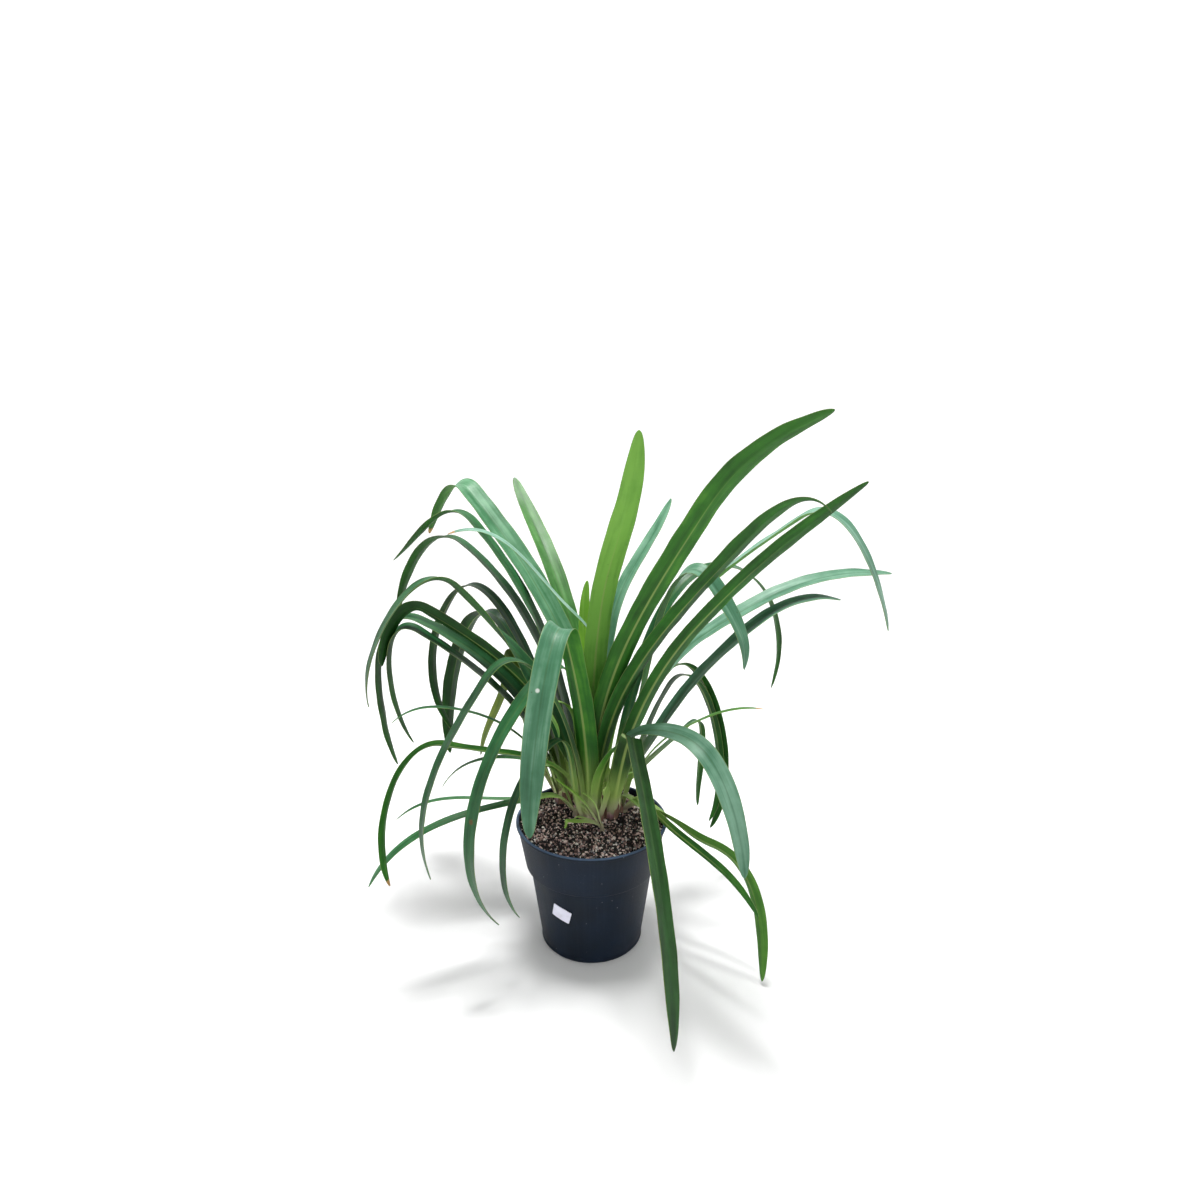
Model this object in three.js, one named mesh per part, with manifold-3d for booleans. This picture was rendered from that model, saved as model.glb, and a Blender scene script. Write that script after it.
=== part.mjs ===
// A strap-leaved agapanthus in a round nursery pot, without flowers.
// Millimetres, +Z up, the origin in the middle of the pot's resting face.
// -Y is the side seen from the front, +X is to the right.
import * as THREE from 'three';
import Module from 'manifold-3d';
import { mergeVertices } from 'three/addons/utils/BufferGeometryUtils.js';

const wasm = await Module();
wasm.setup();

// ---- driving sizes ---------------------------------------------------------------------------

const GAP = 0.3;

const POT_HEIGHT = 177;
const POT_SIDES = 40;
const WALL = 2;
const RIM_RADIUS = 100;
const RIM_DEPTH = 4;
const RIM_ROUNDING = 1;
const COLLAR_TOP_RADIUS = 98;
const COLLAR_FOOT_RADIUS = 88;
const COLLAR_FOOT_HEIGHT = 116;
const COLLAR_FOOT_CHAMFER = 1.5;
const BODY_TOP_RADIUS = 82;
const BODY_TOP_HEIGHT = 112;
const BODY_FOOT_RADIUS = 67;
const FOOT_RADIUS = 66;
const FOOT_WIDTH = 6;
const FOOT_BEAD = 2;
const FOOT_BEAD_HEIGHT = 7;
const BASE_LIFT = 4;
const PAD_RADIUS = 24;
const STEP_RUN = 2;
const DRAIN_HOLES = 8;
const DRAIN_HOLE_RADIUS = 6;
const DRAIN_HOLE_SIDES = 12;
const DRAIN_RING_RADIUS = 44;

const SOIL_HEIGHT = 170;
const SOIL_RINGS = 10;
const GRIT_HEIGHT = 1.3;
const CROWN_DEPTH = 14;
const CROWN_RISE = 8;
const CROWN_DOME = 6;
const CROWN_SIDES = 16;
const ROOT_HEIGHT = SOIL_HEIGHT + 6;

const LABEL_LENGTH = 26;
const LABEL_HEIGHT = 20;
const LABEL_THICKNESS = 0.6;
const LABEL_TILT = -16;
const LABEL_AZIMUTH = 240;
const LABEL_MIDDLE_HEIGHT = 77;

const EDGE_THICKNESS = 0.7;
const MIDDLE_THICKNESS = 1.6;
const CHANNEL_RADIUS = 26;
const TIGHTEST_RADIUS = 4.5;
const WIDEST_ANGLE = 1.3;
const BASE_WIDTH_SHARE = 0.5;
const FULL_WIDTH_SHARE = 0.3;
const TIP_START = 0.7;
const TIP_FULLNESS = 2.2;
const TIP_HALF_WIDTH = 0.6;
const HANDLE = 0.38;
const WRAPPED_SHARE = 0.02;
const OPEN_SHARE = 0.22;
const TURNED_SHARE = 0.35;
const LEAN_SHARES = { start: 0.04, full: 0.2, easing: 0.3, gone: 0.6 };
const LONG_BLADE_STEPS = 6;
const SHORT_BLADE_STEPS = 4;
const WIDE_SECTION = [-1, -0.5, 0, 0.5, 1];
const NARROW_SECTION = [-1, 0, 1];
const NARROW_WIDTH = 14;

// ---- colours ---------------------------------------------------------------------------------

const finish = (color, roughness) => new THREE.MeshStandardMaterial({ color, roughness, metalness: 0 });
const POT_PLASTIC = finish(0x262e3c, 0.5);
const GRIT = finish(0x6e5548, 0.95);
const LABEL_PAPER = finish(0xd7d7eb, 0.6);
const LEAF_GREEN = finish(0x4a7f4c, 0.45);
const YOUNG_GREEN = finish(0x87be46, 0.45);
const YELLOWING_GREEN = finish(0x8a8a2c, 0.6);
const CROWN_PALE = finish(0xb5a98a, 0.55);

// ---- small helpers ---------------------------------------------------------------------------

const radians = THREE.MathUtils.degToRad;
const smoothstep = THREE.MathUtils.smoothstep;
const lerp = THREE.MathUtils.lerp;

function positionOnly(geometry) {
  const bare = new THREE.BufferGeometry();
  bare.setAttribute('position', geometry.getAttribute('position').clone());
  if (geometry.index) bare.setIndex(geometry.index.clone());
  return mergeVertices(bare, 1e-4);
}

function toSolid(geometry) {
  const merged = positionOnly(geometry);
  return new wasm.Manifold(new wasm.Mesh({
    numProp: 3,
    vertProperties: new Float32Array(merged.getAttribute('position').array),
    triVerts: new Uint32Array(merged.index.array),
  }));
}

function toGeometry(solid) {
  const { vertProperties, triVerts } = solid.getMesh();
  const geometry = new THREE.BufferGeometry();
  geometry.setAttribute('position', new THREE.BufferAttribute(new Float32Array(vertProperties), 3));
  geometry.setIndex(new THREE.BufferAttribute(new Uint32Array(triVerts), 1));
  return geometry;
}

const joined = (solids) => solids.reduce((whole, solid) => whole.add(solid));

// A turned piece standing on +Z from its profile of [radius, height] points.
function turned(profile, sides) {
  const points = profile.map(([radius, height]) => new THREE.Vector2(radius, height));
  return new THREE.LatheGeometry(points, sides).rotateX(Math.PI / 2);
}

function upright(radius, bottom, top, x, y, sides) {
  const height = top - bottom;
  const cylinder = new THREE.CylinderGeometry(radius, radius, height, sides).rotateX(Math.PI / 2);
  return toSolid(cylinder.translate(x, y, bottom + height / 2));
}

// A repeatable value between -1 and 1 for each place.
function scatter(x, y) {
  const wave = Math.sin(x * 12.9898 + y * 78.233) * 43758.5453;
  return 2 * (wave - Math.floor(wave)) - 1;
}

// ---- pot -------------------------------------------------------------------------------------

const bodyRadius = (height) => lerp(BODY_FOOT_RADIUS, BODY_TOP_RADIUS, height / BODY_TOP_HEIGHT);
const collarRadius = (height) => lerp(COLLAR_FOOT_RADIUS, COLLAR_TOP_RADIUS,
  (height - COLLAR_FOOT_HEIGHT) / (POT_HEIGHT - RIM_DEPTH - COLLAR_FOOT_HEIGHT));

// The base rests on a pad in its middle and on a foot ring, with the drain holes lifted between.
function pot() {
  const shell = turned([
    [0, 0],
    [PAD_RADIUS, 0],
    [PAD_RADIUS + STEP_RUN, BASE_LIFT],
    [FOOT_RADIUS - FOOT_WIDTH - STEP_RUN, BASE_LIFT],
    [FOOT_RADIUS - FOOT_WIDTH, 0],
    [FOOT_RADIUS, 0],
    [FOOT_RADIUS + FOOT_BEAD, WALL],
    [FOOT_RADIUS + FOOT_BEAD, FOOT_BEAD_HEIGHT],
    [bodyRadius(FOOT_BEAD_HEIGHT + WALL), FOOT_BEAD_HEIGHT + WALL],
    [BODY_TOP_RADIUS, BODY_TOP_HEIGHT],
    [COLLAR_FOOT_RADIUS - COLLAR_FOOT_CHAMFER, COLLAR_FOOT_HEIGHT - RIM_ROUNDING],
    [COLLAR_FOOT_RADIUS, COLLAR_FOOT_HEIGHT],
    [COLLAR_TOP_RADIUS, POT_HEIGHT - RIM_DEPTH],
    [RIM_RADIUS, POT_HEIGHT - RIM_DEPTH],
    [RIM_RADIUS, POT_HEIGHT - RIM_ROUNDING],
    [RIM_RADIUS - RIM_ROUNDING, POT_HEIGHT],
    [COLLAR_TOP_RADIUS - WALL, POT_HEIGHT],
    [COLLAR_TOP_RADIUS - WALL, POT_HEIGHT - RIM_DEPTH],
    [COLLAR_FOOT_RADIUS - WALL, COLLAR_FOOT_HEIGHT + WALL],
    [BODY_TOP_RADIUS - WALL, BODY_TOP_HEIGHT + WALL],
    [bodyRadius(BASE_LIFT + WALL) - WALL, BASE_LIFT + WALL],
    [PAD_RADIUS + STEP_RUN, BASE_LIFT + WALL],
    [PAD_RADIUS, WALL],
    [0, WALL],
  ], POT_SIDES);
  const holes = Array.from({ length: DRAIN_HOLES }, (_, i) => {
    const turn = (i + 0.5) * 2 * Math.PI / DRAIN_HOLES;
    return upright(DRAIN_HOLE_RADIUS, 0, BASE_LIFT + 2 * WALL,
      DRAIN_RING_RADIUS * Math.cos(turn), DRAIN_RING_RADIUS * Math.sin(turn), DRAIN_HOLE_SIDES);
  });
  return toGeometry(toSolid(shell).subtract(joined(holes)));
}

// A blank curved sticker that lies a gap off the pot's tapering body.
function label() {
  const slab = new THREE.BoxGeometry(LABEL_LENGTH, LABEL_HEIGHT, LABEL_THICKNESS, 8, 4, 1);
  const place = slab.getAttribute('position');
  const tilt = radians(LABEL_TILT);
  for (let i = 0; i < place.count; i += 1) {
    const along = place.getX(i) * Math.cos(tilt) - place.getY(i) * Math.sin(tilt);
    const up = place.getX(i) * Math.sin(tilt) + place.getY(i) * Math.cos(tilt);
    const height = LABEL_MIDDLE_HEIGHT + up;
    const radius = bodyRadius(height) + GAP + LABEL_THICKNESS / 2 + place.getZ(i);
    const azimuth = radians(LABEL_AZIMUTH) + along / bodyRadius(LABEL_MIDDLE_HEIGHT);
    place.setXYZ(i, radius * Math.cos(azimuth), radius * Math.sin(azimuth), height);
  }
  return slab;
}

// ---- shoots: where each one stands in the pot -------------------------------------------------

const SHOOTS = {
  main: { x: 0, y: 6, radius: 16 },
  mid: { x: -8, y: 36, radius: 14 },
  left: { x: -34, y: 58, radius: 16 },
  right: { x: 26, y: 14, radius: 10 },
  back: { x: 20, y: 58, radius: 18 },
  edge: { x: 42, y: 25, radius: 8 },
  small: { x: -21, y: 14, radius: 5 },
  front: { x: 14, y: -26, radius: 3 },
};

// A fleshy crown, sunk in the medium, with a domed top that the leaves rise from.
function crown({ x, y, radius }, grown = 0) {
  const wide = radius + grown;
  const foot = SOIL_HEIGHT - CROWN_DEPTH;
  const shoulder = SOIL_HEIGHT + CROWN_RISE + grown;
  return toSolid(turned([
    [0, foot],
    [wide * 0.8, foot],
    [wide, foot + CROWN_DEPTH * 0.5],
    [wide, shoulder - CROWN_RISE * 0.4],
    [wide * 0.8, shoulder],
    [wide * 0.45, shoulder + CROWN_DOME * 0.8],
    [0, shoulder + CROWN_DOME],
  ], CROWN_SIDES).translate(x, y, 0));
}

// ---- growing medium ---------------------------------------------------------------------------

function growingMedium() {
  const inner = (radius) => radius - WALL - GAP;
  const floor = WALL + GAP;
  const topRadius = inner(collarRadius(SOIL_HEIGHT));
  const top = Array.from({ length: SOIL_RINGS }, (_, i) => [topRadius * (1 - i / SOIL_RINGS), SOIL_HEIGHT]);
  const plug = positionOnly(turned([
    [0, floor],
    [PAD_RADIUS - GAP, floor],
    [PAD_RADIUS + STEP_RUN - GAP, BASE_LIFT + floor],
    [inner(bodyRadius(BASE_LIFT + floor)), BASE_LIFT + floor],
    [inner(BODY_TOP_RADIUS), BODY_TOP_HEIGHT + WALL],
    [inner(COLLAR_FOOT_RADIUS), COLLAR_FOOT_HEIGHT + WALL + GAP],
    ...top,
    [0, SOIL_HEIGHT],
  ], POT_SIDES));
  const place = plug.getAttribute('position');
  for (let i = 0; i < place.count; i += 1) {
    const x = place.getX(i);
    const y = place.getY(i);
    const isGrit = place.getZ(i) > SOIL_HEIGHT - GAP && Math.hypot(x, y) < topRadius - GAP;
    if (isGrit) place.setZ(i, SOIL_HEIGHT + GRIT_HEIGHT * scatter(Math.round(x), Math.round(y)));
  }
  const holes = Object.values(SHOOTS).map(({ x, y, radius }) => (
    upright(radius + GAP, SOIL_HEIGHT - CROWN_DEPTH - GAP, SOIL_HEIGHT + CROWN_RISE, x, y, CROWN_SIDES)));
  return toGeometry(toSolid(plug).subtract(joined(holes)));
}

// ---- blades -----------------------------------------------------------------------------------

const heading = (degrees) => new THREE.Vector2(Math.cos(radians(degrees)), Math.sin(radians(degrees)));

// One bend of a blade in its own upright plane. A short handle makes that end of it sharp.
function bend(from, fromSlope, fromHandle, to, toSlope, toHandle) {
  const span = from.distanceTo(to);
  return new THREE.CubicBezierCurve(
    from,
    from.clone().addScaledVector(heading(fromSlope), fromHandle * span),
    to.clone().addScaledVector(heading(toSlope), -toHandle * span),
    to,
  );
}

// Stations on the rising bend are even. Those on the falling one close up towards the tip.
function centreline({ rise, mid, tip, fold = HANDLE }, steps) {
  const root = new THREE.Vector2(0, 0);
  const middle = new THREE.Vector2(mid[0], mid[1]);
  const end = new THREE.Vector2(tip[0], tip[1]);
  const rising = bend(root, rise, HANDLE, middle, mid[2], fold);
  const falling = bend(middle, mid[2], fold, end, tip[2], HANDLE);
  const points = [];
  for (let i = 0; i <= steps; i += 1) points.push(rising.getPoint(i / steps));
  for (let i = 1; i <= steps; i += 1) points.push(falling.getPoint(Math.sin(i / steps * Math.PI / 2)));
  return points;
}

function halfWidth(share, width) {
  const base = lerp(BASE_WIDTH_SHARE, 1, smoothstep(share, 0, FULL_WIDTH_SHARE));
  const past = Math.max(0, (share - TIP_START) / (1 - TIP_START));
  const taper = Math.sqrt(Math.max(0, 1 - past ** TIP_FULLNESS));
  return Math.max(TIP_HALF_WIDTH, width / 2 * base * taper);
}

// A closed strap: stations along the centreline, each with a channelled section across it.
// The channel wraps the shoot at the root and opens out as the blade leaves it.
function blade(leaf, steps) {
  const { shoot, ring, azimuth, width, turn = 0, lean = 0, bow = 0 } = leaf;
  const across = width > NARROW_WIDTH ? WIDE_SECTION : NARROW_SECTION;
  const outward = new THREE.Vector3(Math.cos(radians(azimuth)), Math.sin(radians(azimuth)), 0);
  const sideways = new THREE.Vector3(-outward.y, outward.x, 0);
  const middle = new THREE.Vector3(SHOOTS[shoot].x, SHOOTS[shoot].y, ROOT_HEIGHT);
  const root = middle.addScaledVector(outward, ring);
  const flat = centreline(leaf, steps);
  const travel = [0];
  for (let i = 1; i < flat.length; i += 1) travel.push(travel[i - 1] + flat[i].distanceTo(flat[i - 1]));
  const share = travel.map((distance) => distance / travel[travel.length - 1]);
  const spine = flat.map((point, i) => root.clone()
    .addScaledVector(outward, point.x)
    .addScaledVector(sideways, bow * share[i] ** 2)
    .add(new THREE.Vector3(0, 0, point.y)));

  const corners = spine.flatMap((point, i) => {
    const before = spine[Math.max(0, i - 1)];
    const after = spine[Math.min(spine.length - 1, i + 1)];
    const along = after.clone().sub(before).normalize();
    const level = sideways.clone().addScaledVector(along, -along.dot(sideways)).normalize();
    const leant = smoothstep(share[i], LEAN_SHARES.start, LEAN_SHARES.full);
    const eased = smoothstep(share[i], LEAN_SHARES.easing, LEAN_SHARES.gone);
    const twist = radians(turn * smoothstep(share[i], 0, TURNED_SHARE) + lean * leant * (1 - eased));
    const edgeward = level.applyAxisAngle(along, twist);
    const upper = along.clone().cross(edgeward);
    const wrap = Math.max(ring, TIGHTEST_RADIUS);
    const radius = lerp(wrap, CHANNEL_RADIUS, smoothstep(share[i], WRAPPED_SHARE, OPEN_SHARE));
    const spread = Math.min(halfWidth(share[i], width) / radius, WIDEST_ANGLE);
    const face = (side) => across.map((place) => {
      const thickness = lerp(MIDDLE_THICKNESS, EDGE_THICKNESS, place * place);
      const out = radius - side * thickness / 2;
      return point.clone()
        .addScaledVector(edgeward, out * Math.sin(place * spread))
        .addScaledVector(upper, radius - out * Math.cos(place * spread));
    });
    return [...face(1), ...face(-1).reverse()];
  });
  return closedStrip(corners, 2 * across.length);
}

// Skins a run of equal rings of points, with a flat strip closing each end.
// Both faces of a blade are split along the same diagonals.
function closedStrip(corners, ringSize) {
  const faces = [];
  const last = corners.length - ringSize;
  for (let start = 0; start < last; start += ringSize) {
    for (let j = 0; j < ringSize; j += 1) {
      const a = start + j;
      const b = start + (j + 1) % ringSize;
      if (j >= ringSize / 2) faces.push(a, a + ringSize, b, b, a + ringSize, b + ringSize);
      else faces.push(a, b + ringSize, b, a, a + ringSize, b + ringSize);
    }
  }
  for (let j = 0; j + 1 < ringSize / 2; j += 1) {
    const across = ringSize - 1 - j;
    faces.push(j, across - 1, across, j, j + 1, across - 1);
    faces.push(last + j, last + across - 1, last + j + 1, last + j, last + across, last + across - 1);
  }
  const geometry = new THREE.BufferGeometry();
  geometry.setAttribute('position', new THREE.Float32BufferAttribute(corners.flatMap((p) => p.toArray()), 3));
  geometry.setIndex(faces);
  return toSolid(geometry);
}

// ---- the leaves -------------------------------------------------------------------------------
// ring: how far the root stands from the middle of its shoot. azimuth: where the leaf grows to.
// rise: its slope at the root. mid and tip: [reach, height above the root, slope].
// turn: how far the blade twists for good. lean: a twist of its rising half alone.
// bow: how far its tip swings sideways. fold: a kink at mid.

const leaf = (name, shoot, ring, azimuth, rise, mid, tip, rest) => (
  { name, shoot, ring, azimuth, rise, mid, tip, ...rest });

const LARGE_LEAVES = [
  leaf('leaf_main_01', 'main', 5, 105, 83, [15, 145, 72], [50, 310, 112], { width: 19, turn: 15, bow: -10 }),
  leaf('leaf_main_02', 'main', 1, 285, 89, [30, 295, 71], [140, 520, 87], { width: 30, turn: -15, bow: 14 }),
  leaf('leaf_main_03', 'main', 11, 253, 89, [80, 280, 61], [200, 90, -92], { width: 32, turn: -10, bow: -6 }),
  leaf('leaf_main_04', 'main', 5, 306, 93, [185, 435, 53], [340, 550, 22], { width: 29, turn: -30, bow: 8 }),
  leaf('leaf_main_05', 'main', 7, 220, 82, [75, 220, -31], [165, -70, -127],
    { width: 21, turn: -5, bow: 30 }),
  leaf('leaf_main_06', 'main', 9, 321, 91, [185, 385, 49], [295, 445, -46], { width: 26, turn: -25, bow: 2 }),
  leaf('leaf_main_07', 'main', 13, 209, 93, [130, 225, -51], [215, -15, -105], { width: 18, bow: 11 }),
  leaf('leaf_main_08', 'main', 15, 323, 71, [135, 295, 51], [315, 475, 40],
    { width: 21, turn: -40, bow: 14 }),
  leaf('leaf_main_09', 'main', 13, 303, 96, [170, 185, 4], [265, 55, -86], { width: 24, turn: 25, bow: 15 }),
  leaf('leaf_main_10', 'main', 15, 228, 56, [60, 130, -19], [110, -95, -126], { width: 12, bow: -11 }),
  leaf('leaf_mid_01', 'mid', 6, 114, 85, [70, 285, 45], [240, 415, 39], { width: 26, turn: -5, bow: 5 }),
  leaf('leaf_mid_02', 'mid', 10, 45, 83, [40, 240, 75], [165, 400, 57], { width: 22, bow: 6 }),
  leaf('leaf_mid_03', 'mid', 0, 136, 109, [205, 410, 39], [290, 340, -63], { width: 35, turn: -10, bow: 26 }),
  leaf('leaf_mid_04', 'mid', 8, 156, 84, [155, 380, 44], [285, 315, -37], { width: 24, turn: 5, bow: -1 }),
  leaf('leaf_mid_05', 'mid', 4, 197, 83, [5, 270, 45], [160, 380, -22], { width: 10, turn: -20, bow: -37 }),
  leaf('leaf_mid_06', 'mid', 13, 151, 82, [175, 345, 30], [295, 225, -82], { width: 23, turn: 10, bow: 5 }),
  leaf('leaf_mid_07', 'mid', 11, 210, 84, [165, 335, 49], [275, 210, -100],
    { width: 26, turn: 10, bow: 8, lean: -90 }),
  leaf('leaf_mid_08', 'mid', 13, 205, 90, [180, 135, 25], [265, -20, -106], { width: 18, turn: 45, bow: 42 }),
  leaf('leaf_mid_09', 'mid', 6, 228, 78, [55, 170, 9], [40, 115, -85], { width: 10, bow: -4 }),
  leaf('leaf_left_01', 'left', 4, 145, 86, [190, 260, -50], [195, 55, -140], { width: 19, bow: 15 }),
  leaf('leaf_left_02', 'left', 10, 136, 74, [110, 225, 41], [225, -5, -105], { width: 28, turn: 5, bow: 23 }),
  leaf('leaf_left_03', 'left', 0, 182, 96, [180, 275, 33], [240, 200, -85], { width: 25, turn: 50, bow: 7 }),
  leaf('leaf_left_04', 'left', 8, 174, 86, [185, 250, 25], [230, 40, -108], { width: 26, bow: 4, lean: -30 }),
  leaf('leaf_left_05', 'left', 12, 183, 80, [180, 245, 34], [195, 85, -119], { width: 26, bow: -7 }),
  leaf('leaf_left_06', 'left', 14, 161, 53, [70, 185, -87], [115, 45, -82], { width: 14, turn: -65, bow: 3 }),
  leaf('leaf_left_07', 'left', 14, 190, 79, [120, 140, 18], [215, 130, -44],
    { width: 6, turn: -10, bow: -1 }),
  leaf('leaf_back_01', 'back', 3, 333, 91, [245, 415, 37], [350, 295, -76], { width: 25, turn: 5 }),
  leaf('leaf_back_02', 'back', 6, 35, 74, [205, 300, -11], [315, 85, -115], { width: 18, turn: 15 }),
  leaf('leaf_back_03', 'back', 8, 7, 70, [125, 230, 33], [385, 305, -7], { width: 27, turn: 15, bow: 6 }),
  leaf('leaf_back_04', 'back', 12, 7, 55, [145, 205, 44], [305, 275, -16], { width: 24, turn: 10, bow: -8 }),
  leaf('leaf_back_05', 'back', 10, 27, 69, [80, 160, 53], [165, -95, -128],
    { width: 18, turn: -20, bow: -7 }),
  leaf('leaf_back_06', 'back', 14, 28, 47, [85, 145, 53], [155, -80, -128],
    { width: 15, turn: -15, bow: -14 }),
  leaf('leaf_back_07', 'back', 17, 17, 50, [105, 90, 39], [125, -40, -83], { width: 15, turn: -10, bow: 3 }),
  leaf('leaf_back_08', 'back', 14, 344, 52, [90, 115, 33], [195, 155, -2], { width: 7, turn: 5, bow: 1 }),
  leaf('leaf_right_01', 'right', 4, 325, 69, [145, 330, -53], [180, 245, -96],
    { width: 26, turn: 15, bow: -1 }),
  leaf('leaf_right_02', 'right', 8, 283, 68, [110, 160, -44], [345, -60, -66],
    { width: 23, turn: -25, bow: -26, fold: 0.12 }),
  leaf('leaf_right_03', 'right', 0, 9, 77, [5, 45, 43], [35, 55, -84], { width: 4, turn: -5, bow: -5 }),
];

const SIDE_SHOOT_LEAVES = [
  leaf('edge_1', 'edge', 6, 332, 49, [125, -15, -4], [210, -170, -84], { width: 22, turn: -65, bow: -37 }),
  leaf('edge_2', 'edge', 4, 316, 50, [40, 25, -31], [225, -50, -45], { width: 14, turn: -85, bow: -12 }),
  leaf('edge_3', 'edge', 5, 200, 74, [0, 40, 93], [-10, 90, 94], { width: 12, turn: 5, bow: 5 }),
  leaf('edge_4', 'edge', 0, 21, 80, [10, 40, 74], [20, 75, 70], { width: 12, bow: -5 }),
  leaf('edge_5', 'edge', 0, 312, 55, [0, 20, 28], [40, 20, -18], { width: 9, bow: -6 }),
  leaf('small_1', 'small', 1, 164, 63, [50, 70, 6], [190, 15, -61], { width: 7, turn: -15, bow: 7 }),
  leaf('small_2', 'small', 0, 186, 45, [40, 30, -11], [235, 10, -42], { width: 7, turn: -5, bow: 8 }),
  leaf('small_3', 'small', 1, 203, 67, [45, 35, 1], [275, -40, -61], { width: 11, turn: -15, bow: -2 }),
  leaf('front_1', 'front', 0, 150, 79, [5, 20, 85], [25, 50, 19], { width: 3, bow: 10 }),
  leaf('front_2', 'front', 1, 159, 54, [15, 25, 59], [55, 70, 47], { width: 4, bow: 19 }),
  leaf('front_3', 'front', 1, 201, 60, [45, 20, 15], [50, 10, -30], { width: 9, bow: -3 }),
  leaf('front_4', 'front', 0, 172, 60, [30, 15, 13], [40, 10, -12], { width: 4, bow: 1 }),
];

// ---- assembly ---------------------------------------------------------------------------------

const LEAF_COLOURS = { leaf_main_01: YOUNG_GREEN, leaf_left_06: YELLOWING_GREEN };
const plant = new THREE.Group();

function add(name, geometry, material) {
  const mesh = new THREE.Mesh(geometry, material);
  mesh.name = name;
  plant.add(mesh);
}

add('pot', pot(), POT_PLASTIC);
add('growing_medium', growingMedium(), GRIT);
add('price_label', label(), LABEL_PAPER);
for (const shoot of ['main', 'mid', 'left', 'right', 'back']) {
  add(`crown_${shoot}`, toGeometry(crown(SHOOTS[shoot])), CROWN_PALE);
}
for (const large of LARGE_LEAVES) {
  const trimmed = blade(large, LONG_BLADE_STEPS).subtract(crown(SHOOTS[large.shoot], GAP));
  add(large.name, toGeometry(trimmed), LEAF_COLOURS[large.name] ?? LEAF_GREEN);
}
for (const [shoot, material] of [['edge', LEAF_GREEN], ['small', LEAF_GREEN], ['front', YOUNG_GREEN]]) {
  const blades = SIDE_SHOOT_LEAVES.filter((small) => small.shoot === shoot);
  const fused = joined([crown(SHOOTS[shoot]), ...blades.map((small) => blade(small, SHORT_BLADE_STEPS))]);
  add(`shoot_${shoot}`, toGeometry(fused), material);
}

export default plant;
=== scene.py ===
import math

import bpy
import numpy as np
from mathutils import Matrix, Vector


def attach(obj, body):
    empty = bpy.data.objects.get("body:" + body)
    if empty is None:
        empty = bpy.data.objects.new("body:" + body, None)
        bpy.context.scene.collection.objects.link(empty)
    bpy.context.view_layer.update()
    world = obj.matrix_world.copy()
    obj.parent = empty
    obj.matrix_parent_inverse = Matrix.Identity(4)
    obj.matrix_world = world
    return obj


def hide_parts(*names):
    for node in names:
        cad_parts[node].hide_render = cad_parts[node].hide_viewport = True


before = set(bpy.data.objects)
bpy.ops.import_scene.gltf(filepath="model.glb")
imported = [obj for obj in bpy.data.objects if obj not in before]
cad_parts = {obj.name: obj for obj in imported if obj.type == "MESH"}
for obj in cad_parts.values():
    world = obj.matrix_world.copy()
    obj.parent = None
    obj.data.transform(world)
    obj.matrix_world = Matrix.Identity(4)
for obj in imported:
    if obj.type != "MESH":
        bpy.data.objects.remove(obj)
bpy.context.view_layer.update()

MM = 0.001
SCENE = bpy.context.scene.collection
BODY = "root"

# ---- the camera ----

# The lens is assumed. The place and tilt were fitted to the pot with that lens held fixed.
CAMERA_PLACE = (0.0, -1.024, 0.779)
CAMERA_PITCH = 16.38
CAMERA_YAW = 0.64
CAMERA_LENS = 26.0
CAMERA_SENSOR = 36.0


def make_camera():
    camera = bpy.data.objects.new("camera", bpy.data.cameras.new("camera"))
    camera.data.lens = CAMERA_LENS
    camera.data.sensor_width = CAMERA_SENSOR
    camera.data.clip_start = 0.05
    camera.location = CAMERA_PLACE
    camera.rotation_euler = (math.radians(90 - CAMERA_PITCH), 0, math.radians(-CAMERA_YAW))
    SCENE.objects.link(camera)
    bpy.context.scene.camera = camera


# ---- small helpers ----


def smoothstep(x, low, high):
    t = np.clip((np.asarray(x, float) - low) / (high - low), 0, 1)
    return t * t * (3 - 2 * t)


def lerp(a, b, t):
    return a + (b - a) * t


def unit(v):
    return v / np.maximum(np.linalg.norm(v, axis=-1, keepdims=True), 1e-9)


def heading(degrees):
    return np.array([math.cos(math.radians(degrees)), math.sin(math.radians(degrees))])


def linear(red, green, blue):
    """A linear colour from sRGB values of 0 to 255."""
    shares = [v / 255 for v in (red, green, blue)]
    return tuple(s / 12.92 if s <= 0.04045 else ((s + 0.055) / 1.055) ** 2.4 for s in shares) + (1.0,)


class Shape:
    """A mesh in millimetres that grows part by part, with named values for each of its points."""

    def __init__(self):
        self.points = []
        self.faces = []
        self.fields = {}
        self.count = 0

    def add(self, points, faces, **fields):
        points = np.asarray(points, float).reshape(-1, 3)
        self.points.append(points)
        self.faces += [[self.count + i for i in face] for face in faces]
        for name, values in fields.items():
            self.fields.setdefault(name, []).append(np.broadcast_to(values, len(points)))
        self.count += len(points)

    def piece(self, name, material, slot, *nodes, smooth=True):
        """Makes the object, which rides on the plant's body and stands for those CAD nodes."""
        mesh = bpy.data.meshes.new(name)
        mesh.from_pydata((np.vstack(self.points) * MM).tolist(), [], self.faces)
        for field, values in self.fields.items():
            made = mesh.attributes.new(field, "FLOAT", "POINT")
            made.data.foreach_set("value", np.concatenate(values).astype(np.float32))
        mesh.polygons.foreach_set("use_smooth", [smooth] * len(mesh.polygons))
        mesh.materials.append(material)
        mesh.update()
        piece = bpy.data.objects.new(name, mesh)
        SCENE.objects.link(piece)
        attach(piece, BODY)
        if nodes:
            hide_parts(*nodes)
        return piece


def grid_faces(rows, columns, closed=False):
    """Quads over a grid of points, row by row. A closed one joins its last column to its first."""
    return [
        (r * columns + c, r * columns + (c + 1) % columns,
         (r + 1) * columns + (c + 1) % columns, (r + 1) * columns + c)
        for r in range(rows - 1) for c in range(columns if closed else columns - 1)]


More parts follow.
